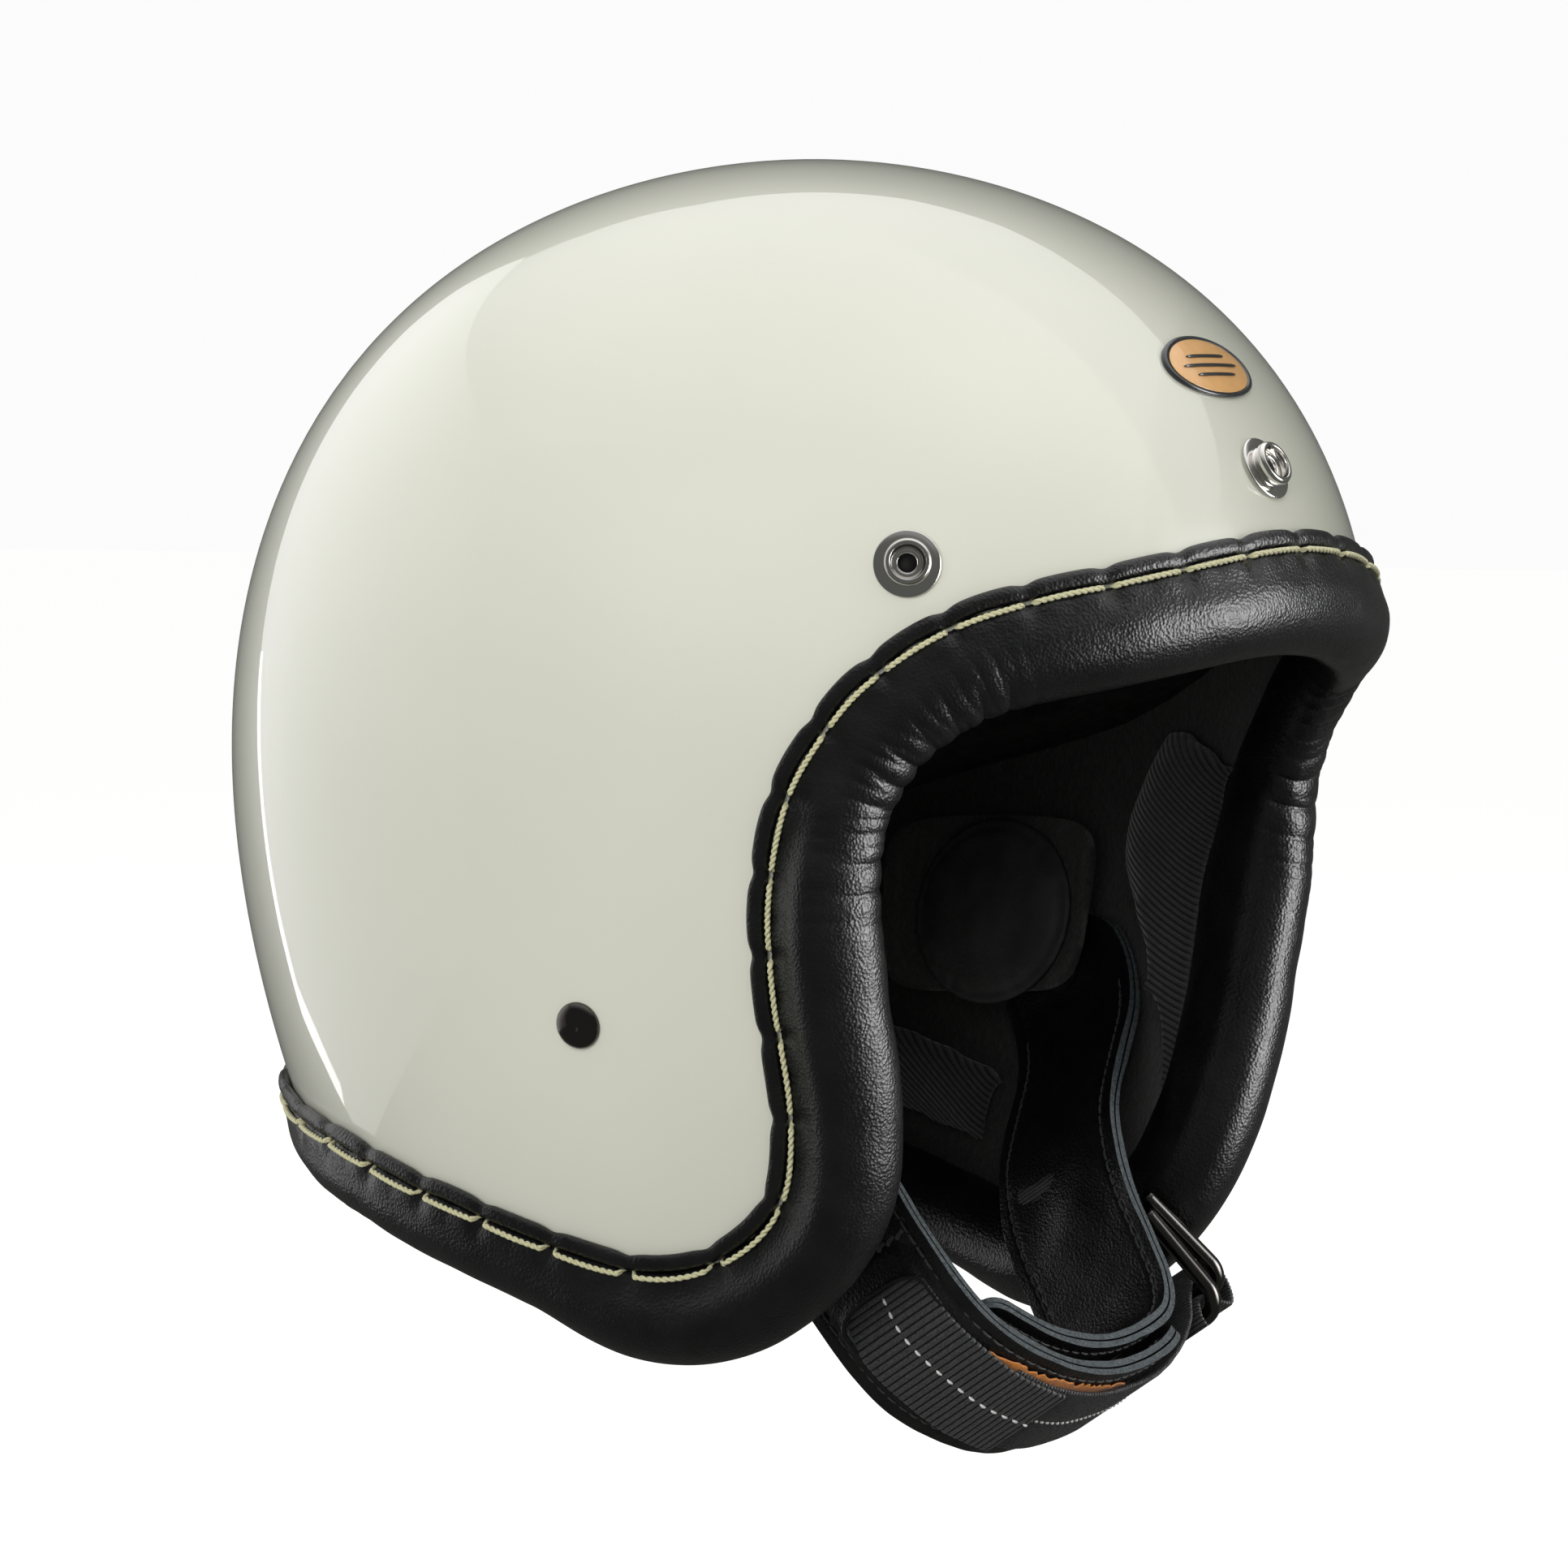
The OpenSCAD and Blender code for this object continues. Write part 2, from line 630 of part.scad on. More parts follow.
// The quick release ribbon between the right strap and the chin webbing
tab_thickness = 0.5;
tab_front = 16.5;
tab_width = 12;
tab_gap = 0.2;
tab_stretch = [32:41];
module pull_tab() {
    path = open_curve(right_route, route_steps);
    span = [for (i = tab_stretch) path[i]];
    color("darkorange") strap_plane() translate([0, 0, tab_front - tab_width / 2])
        strip(span, ply_thickness + tab_gap, ply_thickness + tab_gap + tab_thickness, tab_width);
}

// ---- D rings --------------------------------------------------------------------------
// Middle of each ring's straight bar in the strap plane, and the way its bow points
outer_bar = [53.4, 67.2];
outer_turn = 57;
inner_bar = [50.1, 71.6];
inner_turn = 65;
// Radius of the bow's corners
ring_corner = 6;

module d_ring(bar, turn) {
    half = ring_inside / 2 + ring_wire_d / 2;
    straight = ring_height - ring_corner;
    flat = half - ring_corner;
    translate([bar[0], bar[1], 0]) rotate([0, 0, turn]) rotate([90, 0, 0]) {
        rotate([90, 0, 0]) cylinder(d = ring_wire_d, h = 2 * half, center = true);
        for (s = [-1, 1]) translate([0, s * half, 0]) {
            sphere(d = ring_wire_d);
            rotate([0, 90, 0]) cylinder(d = ring_wire_d, h = straight);
        }
        for (s = [-1, 1]) translate([straight, s * flat, 0]) rotate([0, 0, s > 0 ? 0 : -90])
            rotate_extrude(angle = 90) translate([ring_corner, 0]) circle(d = ring_wire_d);
        translate([ring_height, 0, 0]) rotate([90, 0, 0])
            cylinder(d = ring_wire_d, h = 2 * flat, center = true);
    }
}

module d_ring_outer() {
    color([0.45, 0.44, 0.42]) strap_plane() d_ring(outer_bar, outer_turn);
}

module d_ring_inner() {
    color([0.4, 0.39, 0.38]) strap_plane() d_ring(inner_bar, inner_turn);
}

// ---- badge ----------------------------------------------------------------------------
badge_dir = bearing(0, badge_el);
badge_steps = 32;
badge_base = 0.05;
badge_floor = 0.6;
badge_h = 1.1;

// Rings of an oval on the shell: each row is a share of the oval and a height
function oval_rows(rows) =
    let (here = under(badge_dir), up = cross([1, 0, 0], outward(badge_dir)))
    [for (r = rows) [for (i = [0:badge_steps - 1])
        let (a = 360 * i / badge_steps)
        under(here + r[0] * badge_length / 2 * cos(a) * [1, 0, 0]
                   + r[0] * badge_height / 2 * sin(a) * up, -r[1])]];

module badge_plate() {
    inner = 1 - 2 * badge_rim / badge_height;
    color([0.3, 0.3, 0.3])
        bowl(under(badge_dir, -badge_floor),
             oval_rows([[0.5, badge_floor], [inner - 0.02, badge_floor], [inner, badge_h],
                        [1, badge_h - 0.2]]),
             under(badge_dir, -badge_base),
             oval_rows([[0.5, badge_base], [inner - 0.02, badge_base],
                        [inner, badge_base], [1, badge_base]]));
}

module badge_inlay() {
    inner = 1 - 2 * badge_rim / badge_height - 0.04;
    color([0.8, 0.52, 0.3])
        bowl(under(badge_dir, -badge_h + 0.1),
             oval_rows([[0.5, badge_h - 0.1], [inner, badge_h - 0.15]]),
             under(badge_dir, -badge_floor - 0.05),
             oval_rows([[0.5, badge_floor + 0.05], [inner, badge_floor + 0.05]]));
}

shell();
eps_liner();
crown_pad();
forehead_pad();
neck_pad();
cheek_pad_right();
cheek_pad_left();
ear_lining_right();
ear_lining_left();
ear_patch_right();
ear_patch_left();
edge_roll_leather();
edge_roll_core();
piping_bead();
seam_thread();
snap_studs();
snap_eyelets();
snap_washers();
rivet_caps();
rivet_shanks();
rivet_washers();
right_strap_outer_leather();
right_strap_inner_leather();
left_strap_outer_leather();
left_strap_inner_leather();
right_webbing();
chin_webbing();
left_webbing();
d_ring_outer();
d_ring_inner();
pull_tab();
badge_plate();
badge_inlay();
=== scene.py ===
import math

import bpy
import numpy as np
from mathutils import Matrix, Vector


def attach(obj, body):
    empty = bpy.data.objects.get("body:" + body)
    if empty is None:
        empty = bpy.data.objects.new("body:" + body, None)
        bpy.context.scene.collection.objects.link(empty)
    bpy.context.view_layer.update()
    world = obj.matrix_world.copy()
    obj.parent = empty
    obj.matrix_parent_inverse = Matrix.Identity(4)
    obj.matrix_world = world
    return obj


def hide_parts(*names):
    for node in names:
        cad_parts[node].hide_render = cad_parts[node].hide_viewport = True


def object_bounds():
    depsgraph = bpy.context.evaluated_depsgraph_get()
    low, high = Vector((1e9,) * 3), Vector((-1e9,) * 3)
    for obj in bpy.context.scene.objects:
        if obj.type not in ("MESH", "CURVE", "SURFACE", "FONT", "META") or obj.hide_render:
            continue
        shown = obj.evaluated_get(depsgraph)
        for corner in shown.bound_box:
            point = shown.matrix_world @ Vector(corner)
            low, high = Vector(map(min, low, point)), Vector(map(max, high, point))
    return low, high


# The looks of an open face motorcycle helmet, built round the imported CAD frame. Shapes are
# worked out in millimetres, in the frame's own axes: -Y front, -X wearer's right, +Z up.

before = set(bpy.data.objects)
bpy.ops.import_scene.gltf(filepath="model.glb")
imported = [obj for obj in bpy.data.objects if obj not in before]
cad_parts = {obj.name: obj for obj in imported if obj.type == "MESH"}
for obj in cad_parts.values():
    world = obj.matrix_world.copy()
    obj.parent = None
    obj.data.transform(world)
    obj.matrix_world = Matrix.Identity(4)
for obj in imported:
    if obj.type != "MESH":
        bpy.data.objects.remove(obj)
cad_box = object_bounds()
MM = 0.001
rng = np.random.default_rng(7)

# ---- shell formula, as in the CAD model ---------------------------------------------------
SHELL_HALF_WIDTH = 114.6
SHELL_FRONT = 141.0
SHELL_BACK = 132.2
SHELL_TOP = 115.8
SHELL_BELOW = 208.9
SHELL_THICKNESS = 3.5
SHELL_TUCK = 10.0
FULL_YZ, FULL_XXZ, FULL_YYZ, FULL_YYZZ, FULL_XXZZZ = -0.054, 0.08, -0.112, -0.14, -0.107

# Seam line round the opening and the bottom edge: bearing (0 front, 90 right), elevation
SEAM_HALF = [(0, 13.6), (19.9, 11.5), (37.4, 8.2), (48, 2), (54.3, -6), (57.5, -13.5),
             (59, -23.5), (58.4, -33), (56.9, -41.6), (57.4, -48.3), (62.6, -52.7),
             (73.6, -55), (92.5, -52.8), (109, -49.2), (131, -43.6), (156, -38.4),
             (180, -36.2)]

SEAM_POINTS = 2400

# Bearings and elevations of the fittings on the shell
SNAP_PLACES = [(0, 19.7), (42.7, 11.9), (-42.7, 11.9)]
RIVET_PLACES = [(81.1, -36.3), (-81.1, -36.3)]
RIVET_RADIUS = 5.3
RIVET_DOME = 2.45
BADGE_PLACE = (0, 31)
BADGE_LENGTH = 32.0
BADGE_HEIGHT = 17.5
BADGE_SIDES = 96
BADGE_BARS = [(2.6, 7.5), (0.0, 10.5), (-2.6, 7.5)]


def unit(v):
    """Vectors scaled to length 1."""
    v = np.asarray(v, float)
    return v / np.linalg.norm(v, axis=-1, keepdims=True)


def bearing(a, e):
    """Direction at bearing a and elevation e, in degrees."""
    a, e = np.radians(a), np.radians(e)
    return np.stack([-np.sin(a) * np.cos(e), -np.cos(a) * np.cos(e),
                     np.sin(e) + 0 * a], -1)


def reach(d):
    """Reach of the shell's outer face along unit directions."""
    x, y, z = d[..., 0], d[..., 1], d[..., 2]
    b = (SHELL_FRONT + SHELL_BACK) / 2 + (SHELL_BACK - SHELL_FRONT) / 2 * y
    c = (SHELL_TOP + SHELL_BELOW) / 2 + (SHELL_TOP - SHELL_BELOW) / 2 * z
    egg = 1 / np.sqrt((x / SHELL_HALF_WIDTH) ** 2 + (y / b) ** 2 + (z / c) ** 2)
    return egg * (1 + FULL_YZ * y * z + FULL_XXZ * x * x * z + FULL_YYZ * y * y * z
                  + FULL_YYZZ * y * y * z * z + FULL_XXZZZ * x * x * z ** 3)


def under(v, depth=0.0):
    """Points at a depth below the shell's outer face, in the directions of v."""
    d = unit(v)
    return d * (reach(d) - depth)[..., None]


def outward(v):
    """Outward normals of the shell's outer face in the directions of v."""
    d = unit(v)
    steep = np.abs(d[..., 2:3]) < 0.9
    e1 = unit(np.cross(d, np.where(steep, [0.0, 0.0, 1.0], [1.0, 0.0, 0.0])))
    e2 = np.cross(d, e1)
    step = 0.01
    return unit(np.cross(under(d + step * e1) - under(d - step * e1),
                         under(d + step * e2) - under(d - step * e2)))


def spline(points, steps, closed=False):
    """Catmull-Rom curve through points, with steps parts between each two."""
    p = np.asarray(points, float)
    n = len(p)
    t = (np.arange(steps) / steps)[:, None]
    out = []
    for i in range(n if closed else n - 1):
        near = [i - 1, i, i + 1, i + 2]
        a, b, c, d = (p[k % n] if closed else p[min(max(k, 0), n - 1)] for k in near)
        out.append(0.5 * (2 * b + (c - a) * t + (2 * a - 5 * b + 4 * c - d) * t ** 2
                          + (3 * b - a - 3 * c + d) * t ** 3))
    if not closed:
        out.append(p[-1:])
    return np.concatenate(out)


def resample(path, count, closed=False):
    """The path again with count points at even spacing."""
    line = np.vstack([path, path[:1]]) if closed else np.asarray(path, float)
    run = np.concatenate([[0], np.cumsum(np.linalg.norm(np.diff(line, axis=0), axis=1))])
    want = np.linspace(0, run[-1], count + 1)[:-1] if closed else np.linspace(0, run[-1], count)
    return np.stack([np.interp(want, run, line[:, k]) for k in range(line.shape[1])], -1)


def between(p, q, t):
    """Directions at the parts t of the arcs from p to q."""
    w = np.arccos(np.clip((p * q).sum(-1), -1, 1))[..., None]
    t = np.asarray(t)[..., None]
    return (np.sin((1 - t) * w) * p + np.sin(t * w) * q) / np.sin(w)


def smoothstep(a, b, x):
    """A smooth change from 0 at a to 1 at b."""
    t = np.clip((x - a) / (b - a), 0, 1)
    return t * t * (3 - 2 * t)


class SeamLine:
    """The seam on the shell, by arc length: its points, outward normals, and the direction
    along the shell that runs into the opening."""

    def __init__(self):
        half = np.array([bearing(a, e) for a, e in SEAM_HALF])
        mirrored = half[-2:0:-1] * [-1, 1, 1]
        line = under(spline(np.vstack([half, mirrored]), 60, closed=True))
        line = under(resample(line, SEAM_POINTS, closed=True))
        self.here = line
        self.out = outward(line)
        along = unit(np.roll(line, -1, 0) - np.roll(line, 1, 0))
        self.into = unit(np.cross(self.out, along))
        steps = np.linalg.norm(np.roll(line, -1, 0) - line, axis=1)
        self.length = steps.sum()
        self.run = np.concatenate([[0], np.cumsum(steps)])

    def _at(self, values, s):
        closed = np.vstack([values, values[:1]])
        s = np.mod(s, self.length)
        return np.stack([np.interp(s, self.run, closed[:, k]) for k in range(3)], -1)

    def point(self, s, p, q):
        """Point at arc length s, p past the seam along the shell and q outward."""
        s, p, q = np.broadcast_arrays(np.asarray(s, float), p, q)
        into, out = unit(self._at(self.into, s)), unit(self._at(self.out, s))
        return under(self._at(self.here, s) + p[..., None] * into) + q[..., None] * out


seam = SeamLine()


# ---- mesh making ---------------------------------------------------------------------------
OFF_AXIS = (0.31, 0.52, 0.79)
TURNED_SIDES = 72


def add_mesh(name, points, faces, material, body, face_slots=None):
    """A smooth piece from points in millimetres. material is one material or several."""
    mesh = bpy.data.meshes.new(name)
    mesh.from_pydata((np.asarray(points) * MM).tolist(), [], faces)
    mesh.validate()
    mesh.polygons.foreach_set("use_smooth", [True] * len(mesh.polygons))
    for m in material if isinstance(material, (list, tuple)) else [material]:
        mesh.materials.append(m)
    if face_slots is not None:
        mesh.polygons.foreach_set("material_index", face_slots)
    obj = bpy.data.objects.new(name, mesh)
    bpy.context.scene.collection.objects.link(obj)
    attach(obj, body)
    return obj


def grid_faces(rows, cols, close_rows=False, close_cols=False, flip=False, first=0):
    """Quads of a grid of rows by cols points."""
    faces = []
    for r in range(rows if close_rows else rows - 1):
        for c in range(cols if close_cols else cols - 1):
            a = first + r * cols + c
            b = first + r * cols + (c + 1) % cols
            d = first + ((r + 1) % rows) * cols + c
            e = first + ((r + 1) % rows) * cols + (c + 1) % cols
            faces.append((a, d, e, b) if flip else (a, b, e, d))
    return faces


def fan(centre, ring, flip=False):
    """Triangles from a centre point to each side of a ring."""
    n = len(ring)
    pairs = [(ring[i], ring[(i + 1) % n]) for i in range(n)]
    return [(centre, b, a) if flip else (centre, a, b) for a, b in pairs]


def closed_band(rings, first, last, flip=False):
    """Points and faces of a row of rings, closed at its ends round the points first and last."""
    n, sides = rings.shape[:2]
    points = np.vstack([rings.reshape(-1, 3), first, last])
    faces = grid_faces(n, sides, close_cols=True, flip=flip)
    faces += fan(n * sides, list(range(sides)), flip=not flip)
    faces += fan(n * sides + 1, list(range((n - 1) * sides, n * sides)), flip=flip)
    return points, faces


def two_sided(centre, rings, back_centre, back_rings, flip=False):
    """Points and faces of a disc or bowl with two sides, each of them rings round a centre,
    and a wall at the rim. The faces of the first side come first."""
    rows, cols = rings.shape[:2]
    back = 1 + rows * cols
    points = np.vstack([centre, rings.reshape(-1, 3), back_centre, back_rings.reshape(-1, 3)])
    faces = fan(0, list(range(1, cols + 1)), flip=flip)
    faces += grid_faces(rows, cols, close_cols=True, flip=not flip, first=1)
    faces += fan(back, list(range(back + 1, back + 1 + cols)), flip=not flip)
    faces += grid_faces(rows, cols, close_cols=True, flip=flip, first=back + 1)
    rim = back - cols
    for i in range(cols):
        k = (i + 1) % cols
        wall = (rim + i, back + rim + i, back + rim + k, rim + k)
        faces.append(wall[::-1] if flip else wall)
    return points, faces


class Parts:
    """Points and faces of many small solids, gathered into one mesh."""

    def __init__(self):
        self.points, self.faces, self.count = [], [], 0

    def add(self, points, faces):
        points = np.asarray(points, float).reshape(-1, 3)
        self.points.append(points)
        self.faces += [tuple(i + self.count for i in f) for f in faces]
        self.count += len(points)

    def mesh(self, name, material, body, slot):
        return add_mesh(name, np.concatenate(self.points), self.faces, material, body)


def tube_points(path, radii, sides):
    """Rings of a tube that follows a path without twisting."""
    along = unit(np.gradient(path, axis=0))
    ups = np.zeros_like(path)
    up = unit(np.cross(along[0], OFF_AXIS))
    for i, t in enumerate(along):
        up = unit(up - (up @ t) * t)
        ups[i] = up
    side = np.cross(along, ups)
    a = 2 * np.pi * np.arange(sides) / sides
    radii = np.broadcast_to(radii, (len(path),))[:, None, None]
    ring = (np.cos(a)[None, :, None] * side[:, None, :]
            + np.sin(a)[None, :, None] * ups[:, None, :])
    return path[:, None, :] + radii * ring


def add_tube(parts, path, radii, sides):
    """Adds a tube with closed ends to parts."""
    parts.add(*closed_band(tube_points(path, radii, sides), path[0], path[-1]))


def add_lathe(parts, place, profile):
    """A turned piece standing on the shell at a place. The profile is (radius, height)."""
    v = bearing(*place)
    n = outward(v)
    e1 = unit(np.cross([0.0, 0.0, 1.0], n))
    e2 = np.cross(n, e1)
    profile = np.asarray(profile, float)
    a = 2 * np.pi * np.arange(TURNED_SIDES) / TURNED_SIDES
    ring = np.cos(a)[:, None] * e1 + np.sin(a)[:, None] * e2
    points = (under(v) + profile[:, 0][:, None, None] * ring[None]
              + profile[:, 1][:, None, None] * n)
    parts.add(points, grid_faces(len(profile), TURNED_SIDES, close_cols=True))


def rounded(profile, radius):
    """A profile with every corner rounded but its two ends."""
    steps = 4
    p = np.asarray(profile, float)
    out = [p[0]]
    for a, b, c in zip(p[:-2], p[1:-1], p[2:]):
        r = min(radius, 0.45 * np.linalg.norm(a - b), 0.45 * np.linalg.norm(c - b))
        start, end = b + r * unit(a - b), b + r * unit(c - b)
        for t in np.linspace(0, 1, steps + 1):
            out.append((1 - t) ** 2 * start + 2 * t * (1 - t) * b + t * t * end)
    out.append(p[-1])
    return np.array(out)


# ---- materials -----------------------------------------------------------------------------
class Look:
    """A procedural material round one Principled shader."""

    def __init__(self, name, colour, roughness, **inputs):
        self.material = bpy.data.materials.new(name)
        self.material.use_nodes = True
        self.tree = self.material.node_tree
        self.shader = self.tree.nodes["Principled BSDF"]
        self.shader.inputs["Base Color"].default_value = (*colour, 1)
        self.shader.inputs["Roughness"].default_value = roughness
        for key, value in inputs.items():
            self.shader.inputs[key.replace("_", " ")].default_value = value

    def node(self, kind, links=None, **settings):
        """A node with its inputs set, or linked where the value is a socket."""
        made = self.tree.nodes.new(kind)
        for key, value in settings.items():
            setattr(made, key, value)
        for key, value in (links or {}).items():
            if isinstance(value, bpy.types.NodeSocket):
                self.tree.links.new(value, made.inputs[key])
            else:
                made.inputs[key].default_value = value
        return made

    def place(self, turn=(0, 0, 0)):
        """Object coordinates, turned."""
        source = self.node("ShaderNodeTexCoord").outputs["Object"]
        return self.node("ShaderNodeMapping", {
            "Vector": source, "Rotation": turn}).outputs["Vector"]

    def noise(self, scale, detail=4.0, rough=0.5):
        return self.node("ShaderNodeTexNoise", {
            "Vector": self.place(), "Scale": scale, "Detail": detail,
            "Roughness": rough}).outputs["Fac"]

    def cells(self, scale, smooth=None):
        """Distances to cell centres, which flow into each other if smooth is given."""
        links = {"Vector": self.place(), "Scale": scale}
        if smooth is None:
            return self.node("ShaderNodeTexVoronoi", links).outputs["Distance"]
        made = self.node("ShaderNodeTexVoronoi", links, feature="SMOOTH_F1")
        made.inputs["Smoothness"].default_value = smooth
        return made.outputs["Distance"]

    def waves(self, scale, turn, bend, bend_scale):
        """Sine bands across the turned Z axis."""
        return self.node("ShaderNodeTexWave", {
            "Vector": self.place(turn), "Scale": scale, "Distortion": bend,
            "Detail Scale": bend_scale}, bands_direction="Z").outputs["Fac"]

    def maths(self, operation, a, b):
        made = self.node("ShaderNodeMath", operation=operation)
        for k, value in enumerate((a, b)):
            if isinstance(value, bpy.types.NodeSocket):
                self.tree.links.new(value, made.inputs[k])
            else:
                made.inputs[k].default_value = value
        return made.outputs["Value"]

    def ramp(self, factor, *stops):
        """Colours by factor. Each stop is (place, (r, g, b))."""
        made = self.node("ShaderNodeValToRGB", {"Fac": factor})
        made.color_ramp.elements[0].position = stops[0][0]
        made.color_ramp.elements[0].color = (*stops[0][1], 1)
        made.color_ramp.elements[1].position = stops[-1][0]
        made.color_ramp.elements[1].color = (*stops[-1][1], 1)
        for where, colour in stops[1:-1]:
            made.color_ramp.elements.new(where).color = (*colour, 1)
        return made.outputs["Color"]

    def span(self, factor, low, high):
        """A factor from 0 to 1 as a number from low to high."""
        return self.node("ShaderNodeMapRange", {
            "Value": factor, "To Min": low, "To Max": high}).outputs["Result"]

    def colour(self, socket):
        self.tree.links.new(socket, self.shader.inputs["Base Color"])

    def roughness(self, socket):
        self.tree.links.new(socket, self.shader.inputs["Roughness"])

    def bump(self, height, strength, distance_mm):
        """Adds a bump over any bump that is there already."""
        made = self.node("ShaderNodeBump", {
            "Height": height, "Strength": strength, "Distance": distance_mm * MM})
        normal = self.shader.inputs["Normal"]
        if normal.is_linked:
            self.tree.links.new(normal.links[0].from_socket, made.inputs["Normal"])
        self.tree.links.new(made.outputs["Normal"], normal)


def per_mm(size):
    """Texture scale, in object space, that makes a feature this many millimetres."""
    return 1 / (size * MM)


def gelcoat():
    """Cream gelcoat under a clear coat, a little cloudy and a little wavy."""
    look = Look("cream_gelcoat", (0.70, 0.70, 0.60), 0.32, Coat_Weight=1.0,
                Coat_Roughness=0.025, Coat_IOR=1.5)
    cloud = look.noise(per_mm(60), 2)
    look.colour(look.ramp(cloud, (0.3, (0.685, 0.69, 0.59)), (0.7, (0.71, 0.71, 0.615))))
    look.bump(look.noise(per_mm(14), 2), 0.05, 0.05)
    return look.material


def leather(name, dark, light, rough, grain=0.7, depth=0.16):
    """Pebbled leather: fine cells and creases, with a slow change of sheen."""
    look = Look(name, dark, rough, Specular_IOR_Level=0.62)
    soft = look.noise(per_mm(9), 3)
    look.colour(look.ramp(soft, (0.35, dark), (0.7, light)))
    look.roughness(look.span(look.noise(per_mm(4), 4), rough - 0.08, rough + 0.1))
    look.bump(look.noise(per_mm(grain * 8), 3, 0.5), 0.14, depth * 2)
    look.bump(look.cells(per_mm(grain), smooth=0.35), 0.6, depth)
    return look.material


def fibrous(name, base, rough, grain, dark, light, bump, **inputs):
    """Fibres: one noise of a size, detail and roughness gives the colour and the bump. dark
    and light are stops on its ramp, and bump is a strength and a depth."""
    look = Look(name, base, rough, **inputs)
    fibre = look.noise(per_mm(grain[0]), *grain[1:])
    look.colour(look.ramp(fibre, dark, light))
    look.bump(fibre, *bump)
    return look.material


def thread(name, dark, light):
    return fibrous(name, dark, 0.6, (0.35, 4, 0.6), (0.3, dark), (0.7, light), (0.5, 0.12),
                   Sheen_Weight=0.2)


def plated(name, colour, rough):
    look = Look(name, colour, rough, Metallic=1.0)
    look.roughness(look.span(look.noise(per_mm(1.2), 5), rough, rough + PLATE_WEAR))
    look.bump(look.noise(per_mm(2.5), 3), 0.06, 0.1)
    return look.material


PLATE_WEAR = 0.08
KNIT_PITCH = 1.15
KNIT_TURN = (-0.785, 0.0, 0.0)
WAVES_PER_UNIT = 10 / math.pi


def rib_knit():
    """Matte knit with fine ribs that run slantwise."""
    look = Look("rib_knit", (0.012, 0.012, 0.0125), 0.9, Sheen_Weight=0.35,
                Sheen_Roughness=0.5)
    ribs = look.waves(per_mm(KNIT_PITCH) / WAVES_PER_UNIT, KNIT_TURN, 0.6, 0.6)
    fuzz = look.noise(per_mm(0.5), 4, 0.7)
    # The colour follows the ribs, darker in the grooves between them: painted shade there, with the
    # fuzz as the yarn's own uneven tone.
    look.colour(look.ramp(look.maths("MULTIPLY", ribs, fuzz), (0.05, (0.012, 0.012, 0.0125)),
                          (0.5, (0.055, 0.055, 0.056))))
    look.bump(ribs, 0.9, 0.5)
    look.bump(fuzz, 0.5, 0.25)
    return look.material


def webbing_cloth(name, dark, light):
    """Woven polyester: ribs are in the mesh, and the yarns in them are here."""
    look = Look(name, dark, 0.55, Sheen_Weight=0.15)
    yarn = look.noise(per_mm(0.4), 4, 0.6)
    look.colour(look.ramp(yarn, (0.3, dark), (0.75, light)))
    look.bump(look.cells(per_mm(0.55)), 0.6, 0.2)
    return look.material


def foam(name, dark, light, bead_mm):
    """Bead foam: fused round cells."""
    look = Look(name, dark, 0.85)
    beads = look.cells(per_mm(bead_mm))
    look.colour(look.ramp(beads, (0.1, light), (0.8, dark)))
    look.bump(beads, 0.6, 0.3)
    return look.material


def enamel(name, colour, shade):
    """Coated paint or enamel, a little uneven in colour."""
    look = Look(name, colour, 0.3, Coat_Weight=0.6, Coat_Roughness=0.08)
    look.colour(look.ramp(look.noise(per_mm(3), 3), (0.3, shade), (0.7, colour)))
    return look.material


SHELL_LOOK = gelcoat()
ROLL_LEATHER = leather("roll_leather", (0.003, 0.003, 0.0033), (0.006, 0.006, 0.0063), 0.34, 0.7,
                       0.22)
PATCH_LEATHER = leather("patch_leather", (0.024, 0.024, 0.0245), (0.04, 0.04, 0.041), 0.45, 1.0)
STRAP_LEATHER = leather("strap_leather", (0.0035, 0.0035, 0.0038), (0.007, 0.007, 0.007), 0.42,
                        0.65, 0.24)
RAW_EDGE = fibrous("raw_leather_edge", (0.05, 0.058, 0.062), 0.9, (0.7, 5, 0.7),
                   (0.33, (0.03, 0.036, 0.04)), (0.66, (0.15, 0.175, 0.187)), (0.8, 0.35))
CREAM_THREAD = thread("cream_thread", (0.42, 0.40, 0.22), (0.72, 0.70, 0.45))
BLACK_THREAD = thread("black_thread", (0.012, 0.012, 0.012), (0.05, 0.05, 0.052))
WHITE_THREAD = thread("white_thread", (0.6, 0.6, 0.58), (0.85, 0.85, 0.83))
NICKEL = plated("nickel", (0.82, 0.80, 0.77), 0.13)
DARK_NICKEL = plated("dark_nickel", (0.11, 0.10, 0.095), 0.12)
GUNMETAL = plated("gunmetal", (0.1, 0.096, 0.092), 0.16)
STEEL = plated("plain_steel", (0.4, 0.4, 0.4), 0.35)
KNIT = rib_knit()
FLEECE = fibrous("lining_fleece", (0.009, 0.0085, 0.0085), 0.95, (1.6, 6, 0.75),
                 (0.35, (0.004, 0.0038, 0.0038)), (0.75, (0.022, 0.021, 0.02)), (0.9, 0.7),
                 Sheen_Weight=0.22, Sheen_Roughness=0.6)
WEBBING = webbing_cloth("webbing_cloth", (0.016, 0.016, 0.0165), (0.08, 0.08, 0.083))
# Near-black cloth for the troughs between the webbing ribs: painted shade.
WEBBING_GAP_SHADE = webbing_cloth("webbing_gap_shade", (0.002, 0.002, 0.002), (0.006, 0.006, 0.006))
RIBBON = fibrous("orange_ribbon", (0.75, 0.24, 0.03), 0.7, (0.5, 4, 0.6),
                 (0.3, (0.55, 0.15, 0.02)), (0.75, (0.9, 0.36, 0.07)), (0.6, 0.25),
                 Sheen_Weight=0.2)
EPS_FOAM = foam("impact_foam", (0.008, 0.008, 0.008), (0.02, 0.02, 0.02), 3.0)
